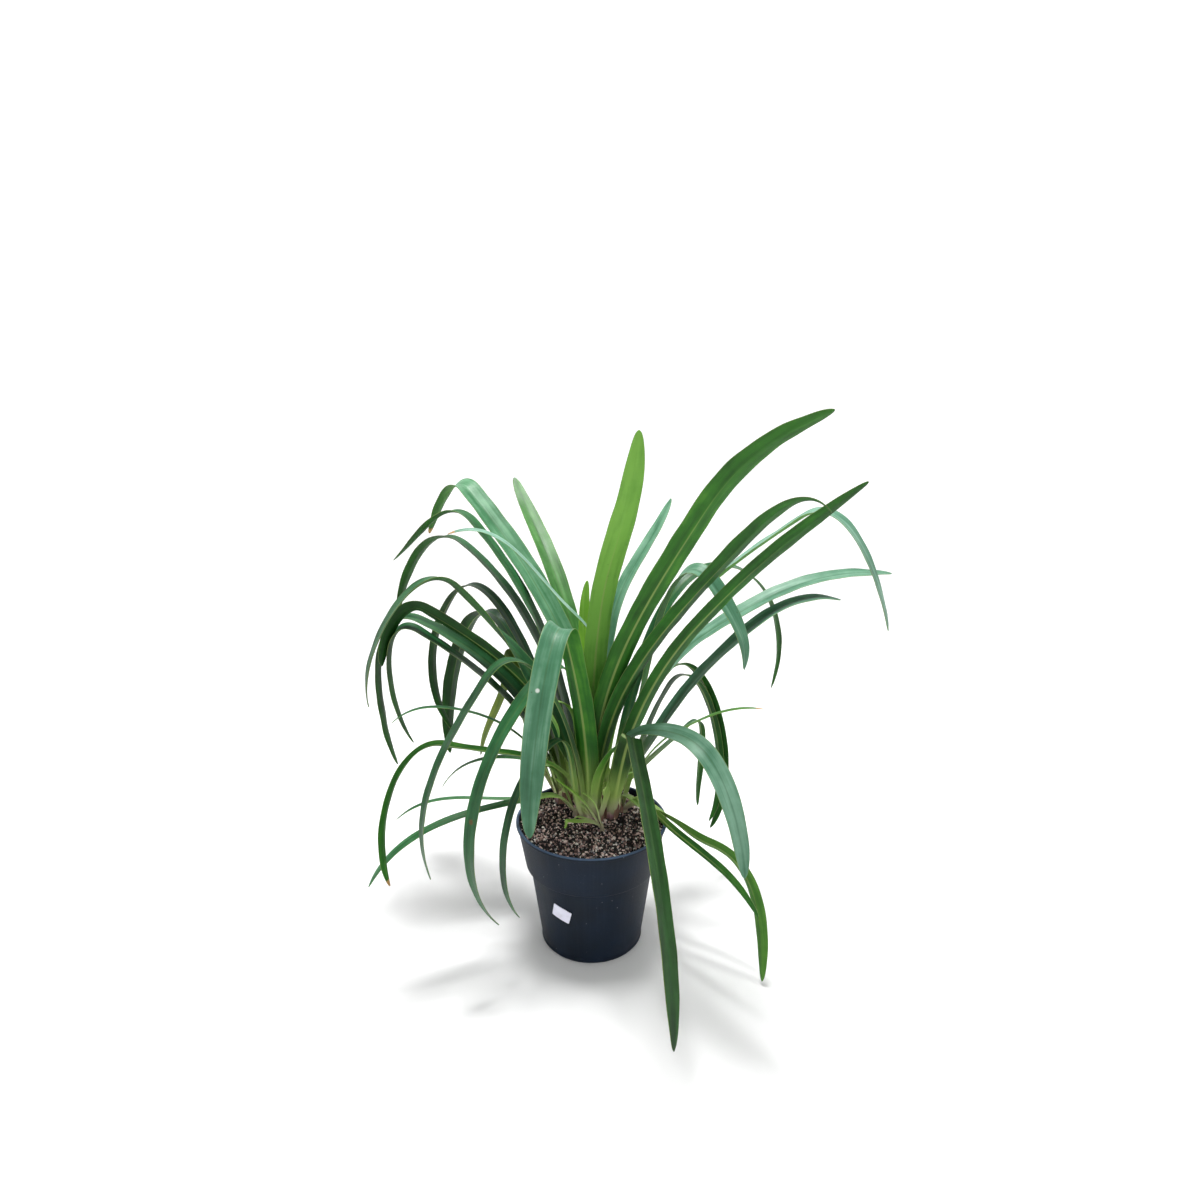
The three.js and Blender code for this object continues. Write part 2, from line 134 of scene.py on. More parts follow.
def sheet_faces(rows, columns):
    """Faces of a closed sheet: a front grid of points, then the same grid again as its back."""
    count = rows * columns
    front = grid_faces(rows, columns)
    back = [tuple(reversed([i + count for i in face])) for face in front]
    top = (rows - 1) * columns
    outline = (list(range(columns)) + [r * columns + columns - 1 for r in range(1, rows)]
               + list(range(top + columns - 2, top - 1, -1))
               + [r * columns for r in range(rows - 2, 0, -1)])
    sides = [(b, a, a + count, b + count) for a, b in zip(outline, outline[1:] + outline[:1])]
    return front + back + sides


def rounded(profile, steps=4):
    """Rounds the corners of a profile of [radius, height, corner radius] rows."""
    points = [np.array(row[:2], float) for row in profile]
    out = [points[0]]
    for before, here, after, row in zip(points, points[1:], points[2:], profile[1:]):
        size = row[2]
        back, on = before - here, after - here
        reach = min(size, np.linalg.norm(back) * 0.45, np.linalg.norm(on) * 0.45)
        start = here + unit(back) * reach
        end = here + unit(on) * reach
        for t in np.linspace(0, 1, steps + 1):
            out.append((1 - t) ** 2 * start + 2 * t * (1 - t) * here + t * t * end)
    out.append(points[-1])
    return out


def lathe(profile, segments, x=0.0, y=0.0):
    """Points and faces of a solid turned about an upright axis. The profile starts and ends on it."""
    turns = np.arange(segments) * 2 * math.pi / segments
    ring = np.stack([np.cos(turns), np.sin(turns)], axis=1)
    rows = [np.column_stack([x + r * ring[:, 0], y + r * ring[:, 1], np.full(segments, z)])
            for r, z in profile[1:-1]]
    low, high = (x, y, profile[0][1]), (x, y, profile[-1][1])
    points = np.vstack(rows + [low, high])
    faces = grid_faces(len(rows), segments, closed=True)
    bottom, top = len(points) - 2, len(points) - 1
    last = (len(rows) - 1) * segments
    faces += [(bottom, (i + 1) % segments, i) for i in range(segments)]
    faces += [(top, last + i, last + (i + 1) % segments) for i in range(segments)]
    return points, faces


def waves(x, seed, longest, shortest, count=5):
    """A smooth wavering value of about -1 to 1 along x, the same for the same seed."""
    draw = np.random.default_rng(seed)
    total = 0.0
    for length in np.geomspace(longest, shortest, count):
        total = total + np.sin(2 * math.pi * np.asarray(x) / length + draw.uniform(0, 6.28))
    return total / count ** 0.5 / 1.4


def swells(x, y, seed, size, count=9):
    """A smooth bumpy value of about -1 to 1 over the plane, with bumps about that size."""
    draw = np.random.default_rng(seed)
    total = 0.0
    for _ in range(count):
        a, b = heading(draw.uniform(0, 360)) * 2 * math.pi / (size * draw.uniform(0.6, 1.8))
        total = total + np.sin(a * x + b * y + draw.uniform(0, 6.28))
    return total / count ** 0.5 / 1.4


# ---- node materials ----


class Shader:
    """A node material that is put together by short calls. Most return an output socket."""

    def __init__(self, name):
        self.material = bpy.data.materials.new(name)
        self.material.use_nodes = True
        self.tree = self.material.node_tree
        self.surface = self.tree.nodes["Principled BSDF"]
        self.output = self.tree.nodes["Material Output"]

    def add(self, kind, **settings):
        node = self.tree.nodes.new(kind)
        for key, value in settings.items():
            setattr(node, key, value)
        return node

    def feed(self, socket, value):
        if isinstance(value, bpy.types.NodeSocket):
            self.tree.links.new(value, socket)
        else:
            socket.default_value = value

    def field(self, name):
        return self.add("ShaderNodeAttribute", attribute_name=name).outputs["Fac"]

    def place(self):
        return self.add("ShaderNodeTexCoord").outputs["Object"]

    def math(self, operation, a, b=0.0):
        node = self.add("ShaderNodeMath", operation=operation)
        self.feed(node.inputs[0], a)
        self.feed(node.inputs[1], b)
        return node.outputs[0]

    def times(self, a, b):
        return self.math("MULTIPLY", a, b)

    def plus(self, a, b):
        return self.math("ADD", a, b)

    def minus(self, a, b):
        return self.math("SUBTRACT", a, b)

    def swing(self, noise, size):
        """A noise moved to lie about zero, and scaled."""
        return self.times(self.minus(noise, 0.5), size)

    def vector(self, x, y, z):
        node = self.add("ShaderNodeCombineXYZ")
        for socket, value in zip(node.inputs, (x, y, z)):
            self.feed(socket, value)
        return node.outputs[0]

    def split(self, vector):
        node = self.add("ShaderNodeSeparateXYZ")
        self.feed(node.inputs[0], vector)
        return node.outputs

    def rise(self, value, low, high):
        """0 below low, 1 above high, and smooth between them."""
        node = self.add("ShaderNodeMapRange", interpolation_type="SMOOTHSTEP")
        for socket, given in zip(("Value", "From Min", "From Max"), (value, low, high)):
            self.feed(node.inputs[socket], given)
        return node.outputs["Result"]

    def fall(self, value, low, high):
        """1 below low, 0 above high, and smooth between them."""
        return self.minus(1.0, self.rise(value, low, high))

    def blend(self, share, a, b):
        node = self.add("ShaderNodeMix", data_type="RGBA")
        self.feed(node.inputs[0], share)
        self.feed(node.inputs[6], a)
        self.feed(node.inputs[7], b)
        return node.outputs[2]

    def ramp(self, value, stops, steady=False):
        node = self.add("ShaderNodeValToRGB")
        node.color_ramp.interpolation = "CONSTANT" if steady else "LINEAR"
        elements = node.color_ramp.elements
        while len(elements) < len(stops):
            elements.new(0.5)
        for element, (position, colour) in zip(elements, stops):
            element.position = position
            element.color = colour
        self.feed(node.inputs[0], value)
        return node.outputs["Color"]

    def greens(self, lightness, colours):
        """A dark, a middle and a light colour, with a deeper one below them."""
        dark, middle, light = colours
        deep = tuple(v * 0.4 for v in dark[:3]) + (1.0,)
        return self.ramp(lightness, [(0.0, deep), (0.22, dark), (0.5, middle), (0.8, light)])

    def noise(self, vector, scale, detail=3.0, roughness=0.5):
        node = self.add("ShaderNodeTexNoise")
        self.feed(node.inputs["Vector"], vector)
        node.inputs["Scale"].default_value = scale
        node.inputs["Detail"].default_value = detail
        node.inputs["Roughness"].default_value = roughness
        return node.outputs["Fac"]

    def cells(self, vector, scale):
        node = self.add("ShaderNodeTexVoronoi")
        self.feed(node.inputs["Vector"], vector)
        node.inputs["Scale"].default_value = scale
        return node.outputs

    def bump(self, height, distance, under=None):
        """Relief of that height in metres, over the relief under it."""
        node = self.add("ShaderNodeBump")
        self.feed(node.inputs["Height"], height)
        node.inputs["Distance"].default_value = distance
        if under is not None:
            self.feed(node.inputs["Normal"], under)
        return node.outputs["Normal"]

    def finish(self, colour, roughness, normal):
        self.feed(self.surface.inputs["Base Color"], colour)
        self.feed(self.surface.inputs["Roughness"], roughness)
        self.feed(self.surface.inputs["Normal"], normal)
        return self.material

    def let_through(self, colour, normal, share):
        """Lets some light through, as a leaf does."""
        glow = self.add("ShaderNodeBsdfTranslucent")
        self.feed(glow.inputs["Color"], colour)
        self.feed(glow.inputs["Normal"], normal)
        both = self.add("ShaderNodeMixShader")
        both.inputs[0].default_value = share
        self.tree.links.new(self.surface.outputs[0], both.inputs[1])
        self.tree.links.new(glow.outputs[0], both.inputs[2])
        self.tree.links.new(both.outputs[0], self.output.inputs["Surface"])


# Marks on single leaves: where in millimetres, how large, and what colour.
LEAF_MARKS = [
    ((-58, -153, 421), 3.6, linear(206, 212, 204)),
    ((-139, -132, 249), 4.0, linear(92, 74, 40)),
    ((212, -145, 598), 2.6, linear(44, 54, 32)),
    ((39, -88, 335), 8.0, linear(158, 184, 122)),
    ((33, -88, 337), 3.4, linear(206, 186, 160)),
]

# The greens of a leaf that is yellower or bluer than the rest, from dark to light.
WARM_GREENS = [linear(52, 98, 28), linear(88, 142, 48), linear(128, 180, 76)]
COOL_GREENS = [linear(54, 98, 78), linear(100, 147, 127), linear(160, 199, 184)]

MARGIN_BROWN = linear(120, 104, 66)
BASE_WHITE = linear(206, 204, 168)
BASE_PURPLE = linear(134, 100, 108)
DRY_PALE = linear(196, 160, 104)
DRY_BROWN = linear(150, 108, 70)
SPECK_BROWN = linear(58, 62, 34)
SEED_SPREAD = 37.0
LEAF_SPECULAR = 0.32
LEAF_TRANSLUCENCE = 0.2


def leaf_material(name, above, below, keel, base, through):
    """Leaf: a glaucous upper face, a greener underside with a pale keel, and lengthwise veins.

    above and below are each a dark, a middle and a light colour.
    """
    s = Shader(name)
    across, along, edge, share, upper, warm = (
        s.field(name) for name in ("across", "along", "edge", "share", "upper", "warm"))
    seed = s.times(s.field("seed"), SEED_SPREAD)
    fine = s.noise(s.vector(across, s.times(along, 0.008), seed), 1.3, 3.0)
    broad = s.noise(s.vector(s.times(across, 0.16), s.times(along, 0.011), seed), 1.0, 2.0)
    patches = s.noise(s.place(), 34.0, 4.0, 0.6)
    lightness = s.plus(s.times(broad, 0.62), s.times(patches, 0.38))
    lightness = s.plus(lightness, s.swing(fine, 0.16))
    lightness = s.plus(lightness, s.times(s.field("tone"), 0.3))
    colour = s.blend(upper, s.greens(lightness, below), s.greens(lightness, above))
    colour = s.blend(s.math("MAXIMUM", warm, 0.0), colour, s.greens(lightness, WARM_GREENS))
    cool = s.times(s.math("MAXIMUM", s.times(warm, -1.0), 0.0), upper)
    colour = s.blend(cool, colour, s.greens(lightness, COOL_GREENS))

    off_middle = s.math("ABSOLUTE", across)
    keel_width = s.minus(2.3, s.times(share, 2.2))
    on_keel = s.fall(s.math("DIVIDE", off_middle, keel_width), 0.5, 1.3)
    fading = s.fall(share, 0.5, 0.9)
    keel_share = s.times(on_keel, s.times(fading, 0.65))
    keel_share = s.times(keel_share, s.minus(1.0, s.times(upper, 0.8)))
    colour = s.blend(keel_share, colour, keel)
    # Painted shade: the middle of the upper face, down its channel, is darkened towards the dark upper
    # green.
    painted_channel_shade = s.times(s.fall(off_middle, 0.3, 1.6), s.times(upper, 0.3))
    colour = s.blend(painted_channel_shade, colour, above[0])

    margin = s.times(s.rise(edge, 0.955, 0.998), 0.5)
    colour = s.blend(margin, colour, s.blend(s.rise(patches, 0.45, 0.7), keel, MARGIN_BROWN))

    near_base = s.plus(along, s.swing(fine, 50.0))
    colour = s.blend(s.times(s.fall(near_base, 10.0, 120.0), 0.8), colour, base)
    white = s.fall(s.plus(along, s.times(broad, 20.0)), 18.0, 58.0)
    colour = s.blend(s.times(white, 0.7), colour, BASE_WHITE)
    purple = s.fall(s.plus(along, s.times(patches, 36.0)), 16.0, 36.0)
    colour = s.blend(s.times(purple, 0.6), colour, BASE_PURPLE)

    ragged = s.plus(s.field("dry"), s.swing(fine, 0.5))
    dryness = s.rise(ragged, 0.35, 0.6)
    colour = s.blend(dryness, colour, s.blend(patches, DRY_PALE, DRY_BROWN))

    speck = s.cells(s.place(), 95.0)
    few = s.rise(s.split(speck["Color"])[0], 0.88, 0.92)
    spotted = s.times(s.fall(speck["Distance"], 0.05, 0.11), few)
    colour = s.blend(s.times(spotted, 0.5), colour, SPECK_BROWN)
    for centre, size, mark in LEAF_MARKS:
        apart = s.add("ShaderNodeVectorMath", operation="DISTANCE")
        s.feed(apart.inputs[0], s.place())
        apart.inputs[1].default_value = tuple(v * MM for v in centre)
        near = s.fall(apart.outputs["Value"], size * 0.6 * MM, size * MM)
        colour = s.blend(near, colour, mark)

    veins = s.noise(s.vector(across, s.times(along, 0.004), seed), 2.4, 2.0)
    relief = s.bump(veins, 0.00016)
    relief = s.bump(s.noise(s.place(), 160.0, 2.0), 0.0001, relief)
    roughness = s.plus(0.5, s.times(s.noise(s.place(), 60.0, 3.0), 0.14))
    roughness = s.minus(roughness, s.times(upper, 0.16))
    roughness = s.plus(roughness, s.times(dryness, 0.3))
    made = s.finish(colour, roughness, relief)
    s.surface.inputs["Specular IOR Level"].default_value = LEAF_SPECULAR
    s.let_through(s.blend(0.5, colour, through), relief, LEAF_TRANSLUCENCE)
    return made


def pot_material():
    """Moulded matt plastic: fine grain, faint upright flow lines, dust and a few splashes."""
    s = Shader("moulded_pot_plastic")
    place = s.place()
    x, y, z = s.split(place)
    turn = s.math("ARCTAN2", y, x)
    flow = s.noise(s.vector(s.times(turn, 9.0), s.times(z, 2.0), 0.0), 4.0, 4.0)
    cloud = s.noise(place, 14.0, 4.0, 0.6)
    colour = s.blend(s.rise(cloud, 0.3, 0.75), linear(3, 15, 28), linear(7, 24, 42))
    colour = s.blend(s.times(s.rise(flow, 0.45, 0.75), 0.12), colour, linear(40, 50, 62))
    # Painted light: the right side, from x of 20 mm outwards, is blended towards a lighter warm grey.
    warm = s.times(s.rise(x, 0.02, 0.09), 0.12)
    colour = s.blend(warm, colour, linear(52, 44, 46))
    dust = s.noise(place, 420.0, 2.0, 0.7)
    dusty = s.times(s.rise(dust, 0.66, 0.76), s.plus(0.12, s.rise(cloud, 0.5, 0.8)))
    colour = s.blend(s.times(dusty, 0.35), colour, linear(120, 128, 136))
    fleck = s.cells(place, 150.0)
    few = s.rise(s.split(fleck["Color"])[0], 0.86, 0.9)
    flecked = s.times(s.fall(fleck["Distance"], 0.03, 0.09), few)
    colour = s.blend(s.times(flecked, 0.8), colour, linear(170, 176, 184))
    # Painted highlight: the top band of the rim, above about 175 mm, is blended towards a pale blue.
    painted_rim_highlight = s.times(s.rise(z, 0.1752, 0.1768), 0.75)
    colour = s.blend(painted_rim_highlight, colour, linear(76, 96, 122))
    grain = s.bump(s.noise(place, 900.0, 3.0, 0.6), 0.00016)
    relief = s.bump(flow, 0.0001, grain)
    roughness = s.plus(0.44, s.times(cloud, 0.16))
    s.surface.inputs["Specular IOR Level"].default_value = 0.18
    return s.finish(colour, roughness, relief)


def bed_material():
    s = Shader("potting_medium")
    place = s.place()
    crumbs = s.noise(place, 420.0, 5.0, 0.7)
    colour = s.ramp(crumbs, [(0.3, linear(8, 6, 6)), (0.52, linear(22, 17, 16)), (0.72, linear(60, 46, 40))])
    return s.finish(colour, 0.95, s.bump(crumbs, 0.0025))


def grit_material():
    """Crushed bark and stone: each grain has its own colour, picked by its own value."""
    s = Shader("loose_grit")
    kinds = s.ramp(s.field("kind"), [
        (0.0, linear(12, 10, 12)), (0.28, linear(44, 34, 35)), (0.4, linear(98, 78, 74)),
        (0.5, linear(160, 132, 126)), (0.62, linear(214, 184, 176)), (0.76, linear(246, 222, 214)),
        (0.87, linear(148, 146, 148)), (0.92, linear(255, 246, 238))], steady=True)
    place = s.place()
    blotch = s.noise(place, 700.0, 3.0, 0.7)
    colour = s.blend(s.rise(blotch, 0.4, 0.75), kinds, s.blend(0.35, kinds, linear(70, 52, 46)))
    return s.finish(colour, 0.88, s.bump(s.noise(place, 1500.0, 3.0, 0.6), 0.0006))


def crown_material():
    """The fleshy bases: whitish green above, tinted purple and brown where they meet the grit."""
    s = Shader("fleshy_crown")
    place = s.place()
    x, y, z = s.split(place)
    streak = s.noise(s.vector(s.times(x, 16.0), s.times(y, 16.0), z), 55.0, 3.0)
    height = s.plus(z, s.swing(streak, 0.012))
    colour = s.ramp(s.rise(height, 0.166, 0.212), [
        (0.0, linear(96, 72, 62)), (0.14, linear(142, 104, 112)), (0.3, linear(196, 180, 160)),
        (0.55, linear(204, 216, 152)), (1.0, linear(162, 202, 100))])
    colour = s.blend(s.times(s.rise(streak, 0.55, 0.75), 0.35), colour, linear(124, 96, 92))
    return s.finish(colour, 0.5, s.bump(streak, 0.0008))


def papery_material():
    """Dead leaf bases: brown paper with lengthwise fibres."""
    s = Shader("dead_sheath")
    place = s.place()
    x, y, z = s.split(place)
    fibre = s.noise(s.vector(s.times(x, 14.0), s.times(y, 14.0), z), 70.0, 4.0)
    colour = s.ramp(fibre, [
        (0.25, linear(70, 50, 44)), (0.5, linear(132, 100, 84)), (0.75, linear(176, 146, 118))])
    return s.finish(colour, 0.75, s.bump(fibre, 0.001))


def label_material():
    s = Shader("blank_label_paper")
    place = s.place()
    fibre = s.noise(place, 1400.0, 4.0, 0.6)
    stain = s.noise(place, 90.0, 3.0)
    colour = s.blend(s.rise(stain, 0.5, 0.8), linear(222, 222, 238), linear(200, 200, 214))
    colour = s.blend(s.times(s.rise(fibre, 0.6, 0.8), 0.3), colour, linear(176, 176, 192))
    return s.finish(colour, 0.62, s.bump(fibre, 0.0001, s.bump(stain, 0.0006)))


def floor_material():
    s = Shader("pale_floor")
    mottle = s.noise(s.place(), 3.0, 3.0)
    colour = s.blend(mottle, linear(246, 246, 246), linear(250, 250, 250))
    reach = s.add("ShaderNodeVectorMath", operation="LENGTH")
    s.feed(reach.inputs[0], s.place())
    glow = s.times(s.rise(reach.outputs["Value"], 0.8, 4.0), 0.45)
    s.surface.inputs["Emission Color"].default_value = (1.0, 1.0, 1.0, 1.0)
    s.feed(s.surface.inputs["Emission Strength"], glow)
    return s.finish(colour, 0.9, s.bump(mottle, 0.0002))


# ---- pot ----

WALL = 2.0
POT_HEIGHT = 177.0
COLLAR_TOP_RADIUS = 98.0
COLLAR_FOOT_RADIUS = 88.0
COLLAR_FOOT_HEIGHT = 116.0
COLLAR_TOP_HEIGHT = 173.0
BODY_TOP_RADIUS = 82.0
BODY_TOP_HEIGHT = 112.0
BODY_FOOT_RADIUS = 67.0
BASE_LIFT = 4.0
PAD_RADIUS = 24.0
FOOT_RADIUS = 66.0
FOOT_INNER_RADIUS = 60.0
FOOT_BEAD_RADIUS = 68.4
FOOT_BEAD_TOP = 7.5
RIM_RADIUS = 100.0
MOUTH_RADIUS = 96.2
DRAIN_HOLES = 8
DRAIN_RING_RADIUS = 44.0
DRAIN_HOLE_RADIUS = 6.0
POT_SEGMENTS = 160


def body_radius(height):
    return lerp(BODY_FOOT_RADIUS, BODY_TOP_RADIUS, height / BODY_TOP_HEIGHT)


def apply_modifiers(piece):
    ready = piece.evaluated_get(bpy.context.evaluated_depsgraph_get())
    made = bpy.data.meshes.new_from_object(ready)
    piece.modifiers.clear()
    piece.data = made


def make_pot():
    profile = rounded([
        (0, 0, 0), (PAD_RADIUS, 0, 0.8), (PAD_RADIUS + 2, BASE_LIFT, 0.8),
        (FOOT_INNER_RADIUS - 2, BASE_LIFT, 0.8), (FOOT_INNER_RADIUS, 0, 0.8),
        (FOOT_RADIUS, 0, 0.8), (FOOT_RADIUS + 1, 2, 0.6),
        (FOOT_BEAD_RADIUS, 3, 0.6), (FOOT_BEAD_RADIUS, 6, 0.6),
        (body_radius(FOOT_BEAD_TOP), FOOT_BEAD_TOP, 0.8),
        (BODY_TOP_RADIUS, BODY_TOP_HEIGHT, 2.0), (COLLAR_FOOT_RADIUS - 1.5, COLLAR_FOOT_HEIGHT - 1, 1.0),
        (COLLAR_FOOT_RADIUS, COLLAR_FOOT_HEIGHT, 1.0), (COLLAR_TOP_RADIUS, COLLAR_TOP_HEIGHT, 0.7),
        (RIM_RADIUS, COLLAR_TOP_HEIGHT, 0.7), (RIM_RADIUS, POT_HEIGHT - 1, 1.0),
        (RIM_RADIUS - 1, POT_HEIGHT, 1.0), (MOUTH_RADIUS, POT_HEIGHT, 1.0),
        (COLLAR_FOOT_RADIUS - WALL, COLLAR_FOOT_HEIGHT + WALL, 1.5),
        (BODY_TOP_RADIUS - WALL, BODY_TOP_HEIGHT + WALL, 1.5), (body_radius(6) - WALL, 6, 1.0),
        (PAD_RADIUS + 2, BASE_LIFT + WALL, 0.8), (PAD_RADIUS, WALL, 0.8), (0, WALL, 0)])
    shell = Shape()
    shell.add(*lathe(profile, POT_SEGMENTS))
    pot = shell.piece("moulded_pot", pot_material(), "pot_plastic", "pot")
    cutters = Shape()
    for i in range(DRAIN_HOLES):
        x, y = heading((i + 0.5) * 360 / DRAIN_HOLES) * DRAIN_RING_RADIUS
        radius = DRAIN_HOLE_RADIUS
        cutters.add(*lathe([(0, -3), (radius, -3), (radius, 12), (0, 12)], 28, x, y))
    mesh = bpy.data.meshes.new("drain_cutters")
    mesh.from_pydata((np.vstack(cutters.points) * MM).tolist(), [], cutters.faces)
    cutter = bpy.data.objects.new("drain_cutters", mesh)
    SCENE.objects.link(cutter)
    cut = pot.modifiers.new("drains", "BOOLEAN")
    cut.operation = "DIFFERENCE"
    cut.object = cutter
    cut.solver = "EXACT"
    apply_modifiers(pot)
    bpy.data.objects.remove(cutter)


# ---- label ----

LABEL_LENGTH = 26.0
LABEL_HEIGHT = 20.0
LABEL_THICKNESS = 0.5
LABEL_TILT = -16.0
LABEL_AZIMUTH = 240.0
LABEL_MIDDLE_HEIGHT = 77.0
LABEL_CORNER = 1.2
LABEL_OFF_POT = 0.3
LABEL_LIFT = 0.9


def make_label():
    """A blank sticker that follows the pot, its corners rounded and one of them a little lifted."""
    columns, rows = 41, 25
    across = np.linspace(-1, 1, columns) * LABEL_LENGTH / 2
    up = np.linspace(-1, 1, rows) * LABEL_HEIGHT / 2
    u, v = np.meshgrid(across, up)
    inner = np.array([LABEL_LENGTH / 2, LABEL_HEIGHT / 2]) - LABEL_CORNER
    past_u = np.maximum(np.abs(u) - inner[0], 0)
    past_v = np.maximum(np.abs(v) - inner[1], 0)
    far = np.maximum(np.hypot(past_u, past_v), 1e-6)
    longest = np.maximum(past_u, past_v)
    u = u - np.sign(u) * past_u * (1 - longest / far)
    v = v - np.sign(v) * past_v * (1 - longest / far)
    lift = LABEL_LIFT * smoothstep(u + v, 12.0, 20.0) + 0.12 * swells(u, v, 3, 9.0)
    tilt = math.radians(LABEL_TILT)
    along = u * math.cos(tilt) - v * math.sin(tilt)
    height = LABEL_MIDDLE_HEIGHT + u * math.sin(tilt) + v * math.cos(tilt)
    azimuth = math.radians(LABEL_AZIMUTH) + along / body_radius(LABEL_MIDDLE_HEIGHT)
    layers = []
    for depth in (LABEL_OFF_POT + LABEL_THICKNESS, LABEL_OFF_POT):
        radius = body_radius(height) + depth + np.maximum(lift, 0)
        layers.append(np.stack([radius * np.cos(azimuth), radius * np.sin(azimuth), height], axis=-1))
    sticker = Shape()
    sticker.add(np.stack(layers), sheet_faces(rows, columns))
    sticker.piece("blank_label", label_material(), "label_paper", "price_label")


# ---- where the shoots stand ----

SOIL_HEIGHT = 170.0
ROOT_HEIGHT = 176.0
SHOOTS = {
    "main": (0, 6, 16), "mid": (-8, 36, 14), "left": (-34, 58, 16), "right": (26, 14, 10),
    "back": (20, 58, 18), "edge": (42, 25, 8), "small": (-21, 14, 5), "front": (14, -26, 3),
}

# ---- growing medium ----

BED_SEGMENTS = 128
BED_RADIUS = 95.0
BED_RINGS = 48
BED_CLEARANCE = 0.3
CRUMB_HEIGHT = 0.45
MOUND_HEIGHT = 2.2
MOUND_WIDTH = 8.0


def bed_height(x, y):
    """The grit's surface: level and bumpy, with a low mound round each crown."""
    height = SOIL_HEIGHT - 0.6 + 1.1 * swells(x, y, 11, 42.0) + 0.5 * swells(x, y, 12, 15.0)
    for shoot_x, shoot_y, radius in SHOOTS.values():
        off_crown = np.hypot(x - shoot_x, y - shoot_y) - radius
        height = height + MOUND_HEIGHT * np.exp(-(off_crown / MOUND_WIDTH) ** 2)
    return height


def make_bed():
    """The plug of medium that fills the pot, its top broken up into crumbs."""
    gap = WALL + BED_CLEARANCE
    below = [(0, gap), (PAD_RADIUS - BED_CLEARANCE, gap), (PAD_RADIUS + 2 - BED_CLEARANCE, BASE_LIFT + gap),
             (body_radius(BASE_LIFT + gap) - gap, BASE_LIFT + gap),
             (BODY_TOP_RADIUS - gap, BODY_TOP_HEIGHT + WALL),
             (COLLAR_FOOT_RADIUS - gap, COLLAR_FOOT_HEIGHT + gap)]
    above = [(BED_RADIUS * (1 - i / BED_RINGS), SOIL_HEIGHT) for i in range(BED_RINGS + 1)]
    points, faces = lathe(below + above, BED_SEGMENTS)
    reach = np.hypot(points[:, 0], points[:, 1])
    top = points[:, 2] > SOIL_HEIGHT - 1
    crumbs = np.random.default_rng(21).normal(0, CRUMB_HEIGHT, len(points))
    surface = bed_height(points[:, 0], points[:, 1]) + crumbs * (reach < BED_RADIUS - 1)
    points[top, 2] = surface[top] - 0.8
    bed = Shape()
    bed.add(points, faces)
    bed.piece("medium_bed", bed_material(), "grit", "growing_medium")


def grain_shape():
    """An icosahedron's corners and faces."""
    t = (1 + 5 ** 0.5) / 2
    corners = np.array([(-1, t, 0), (1, t, 0), (-1, -t, 0), (1, -t, 0), (0, -1, t), (0, 1, t),
                        (0, -1, -t), (0, 1, -t), (t, 0, -1), (t, 0, 1), (-t, 0, -1), (-t, 0, 1)])
    faces = [(0, 11, 5), (0, 5, 1), (0, 1, 7), (0, 7, 10), (0, 10, 11), (1, 5, 9), (5, 11, 4), (11, 10, 2),
             (10, 7, 6), (7, 1, 8), (3, 9, 4), (3, 4, 2), (3, 2, 6), (3, 6, 8), (3, 8, 9), (4, 9, 5),
             (2, 4, 11), (6, 2, 10), (8, 6, 7), (9, 8, 1)]
    return unit(corners), faces


def rotations(draw, count):
    """Random turns in space, as 3 by 3 matrices."""
    q = unit(draw.normal(size=(count, 4)))
    w, x, y, z = q.T
    return np.stack([
        np.stack([1 - 2 * (y * y + z * z), 2 * (x * y - z * w), 2 * (x * z + y * w)], -1),
        np.stack([2 * (x * y + z * w), 1 - 2 * (x * x + z * z), 2 * (y * z - x * w)], -1),
        np.stack([2 * (x * z - y * w), 2 * (y * z + x * w), 1 - 2 * (x * x + y * y)], -1)], -2)


GRAIN_SPACING = 2.6
GRAIN_REACH = 93.5
GRAIN_SHIFT = 0.85
SMALLEST_GRAIN = 0.75
LARGEST_GRAIN = 2.8


def make_grit():
    """Loose angular grains of mixed sizes, partly sunk in the bed."""
    draw = np.random.default_rng(5)
    lines = np.arange(-GRAIN_REACH, GRAIN_REACH, GRAIN_SPACING)
    x, y = [a.ravel() for a in np.meshgrid(lines, lines)]
    x = x + draw.normal(0, GRAIN_SHIFT, len(x))
    y = y + draw.normal(0, GRAIN_SHIFT, len(y))
    clear = np.hypot(x, y) < GRAIN_REACH
    for shoot_x, shoot_y, radius in SHOOTS.values():
        clear &= np.hypot(x - shoot_x, y - shoot_y) > radius - 0.5
    x, y = x[clear], y[clear]
    count = len(x)
    size = np.clip(draw.lognormal(0.38, 0.3, count), SMALLEST_GRAIN, LARGEST_GRAIN)
    height = bed_height(x, y) + size * draw.uniform(-0.35, 0.5, count)
    corners, faces = grain_shape()
    lumps = corners[None] * draw.uniform(0.72, 1.2, (count, len(corners), 1))
    lumps = lumps * draw.uniform(0.62, 1.1, (count, 1, 3)) * size[:, None, None]
    lumps = np.einsum("nij,nkj->nki", rotations(draw, count), lumps)
    lumps = lumps + np.stack([x, y, height], -1)[:, None]
    far = np.hypot(lumps[..., 0], lumps[..., 1])
    pull = np.minimum(1, BED_RADIUS / np.maximum(far, 1e-6))
    lumps[..., :2] *= pull[..., None]
    grit = Shape()
    each = len(corners)
    index = np.asarray(faces)
    all_faces = (index[None] + (np.arange(count) * each)[:, None, None]).reshape(-1, 3).tolist()
    grit.add(lumps.reshape(-1, 3), all_faces, kind=np.repeat(draw.uniform(0, 1, count), each))
    grit.piece("loose_grit", grit_material(), "grit", "growing_medium", smooth=False)


# ---- blades ----

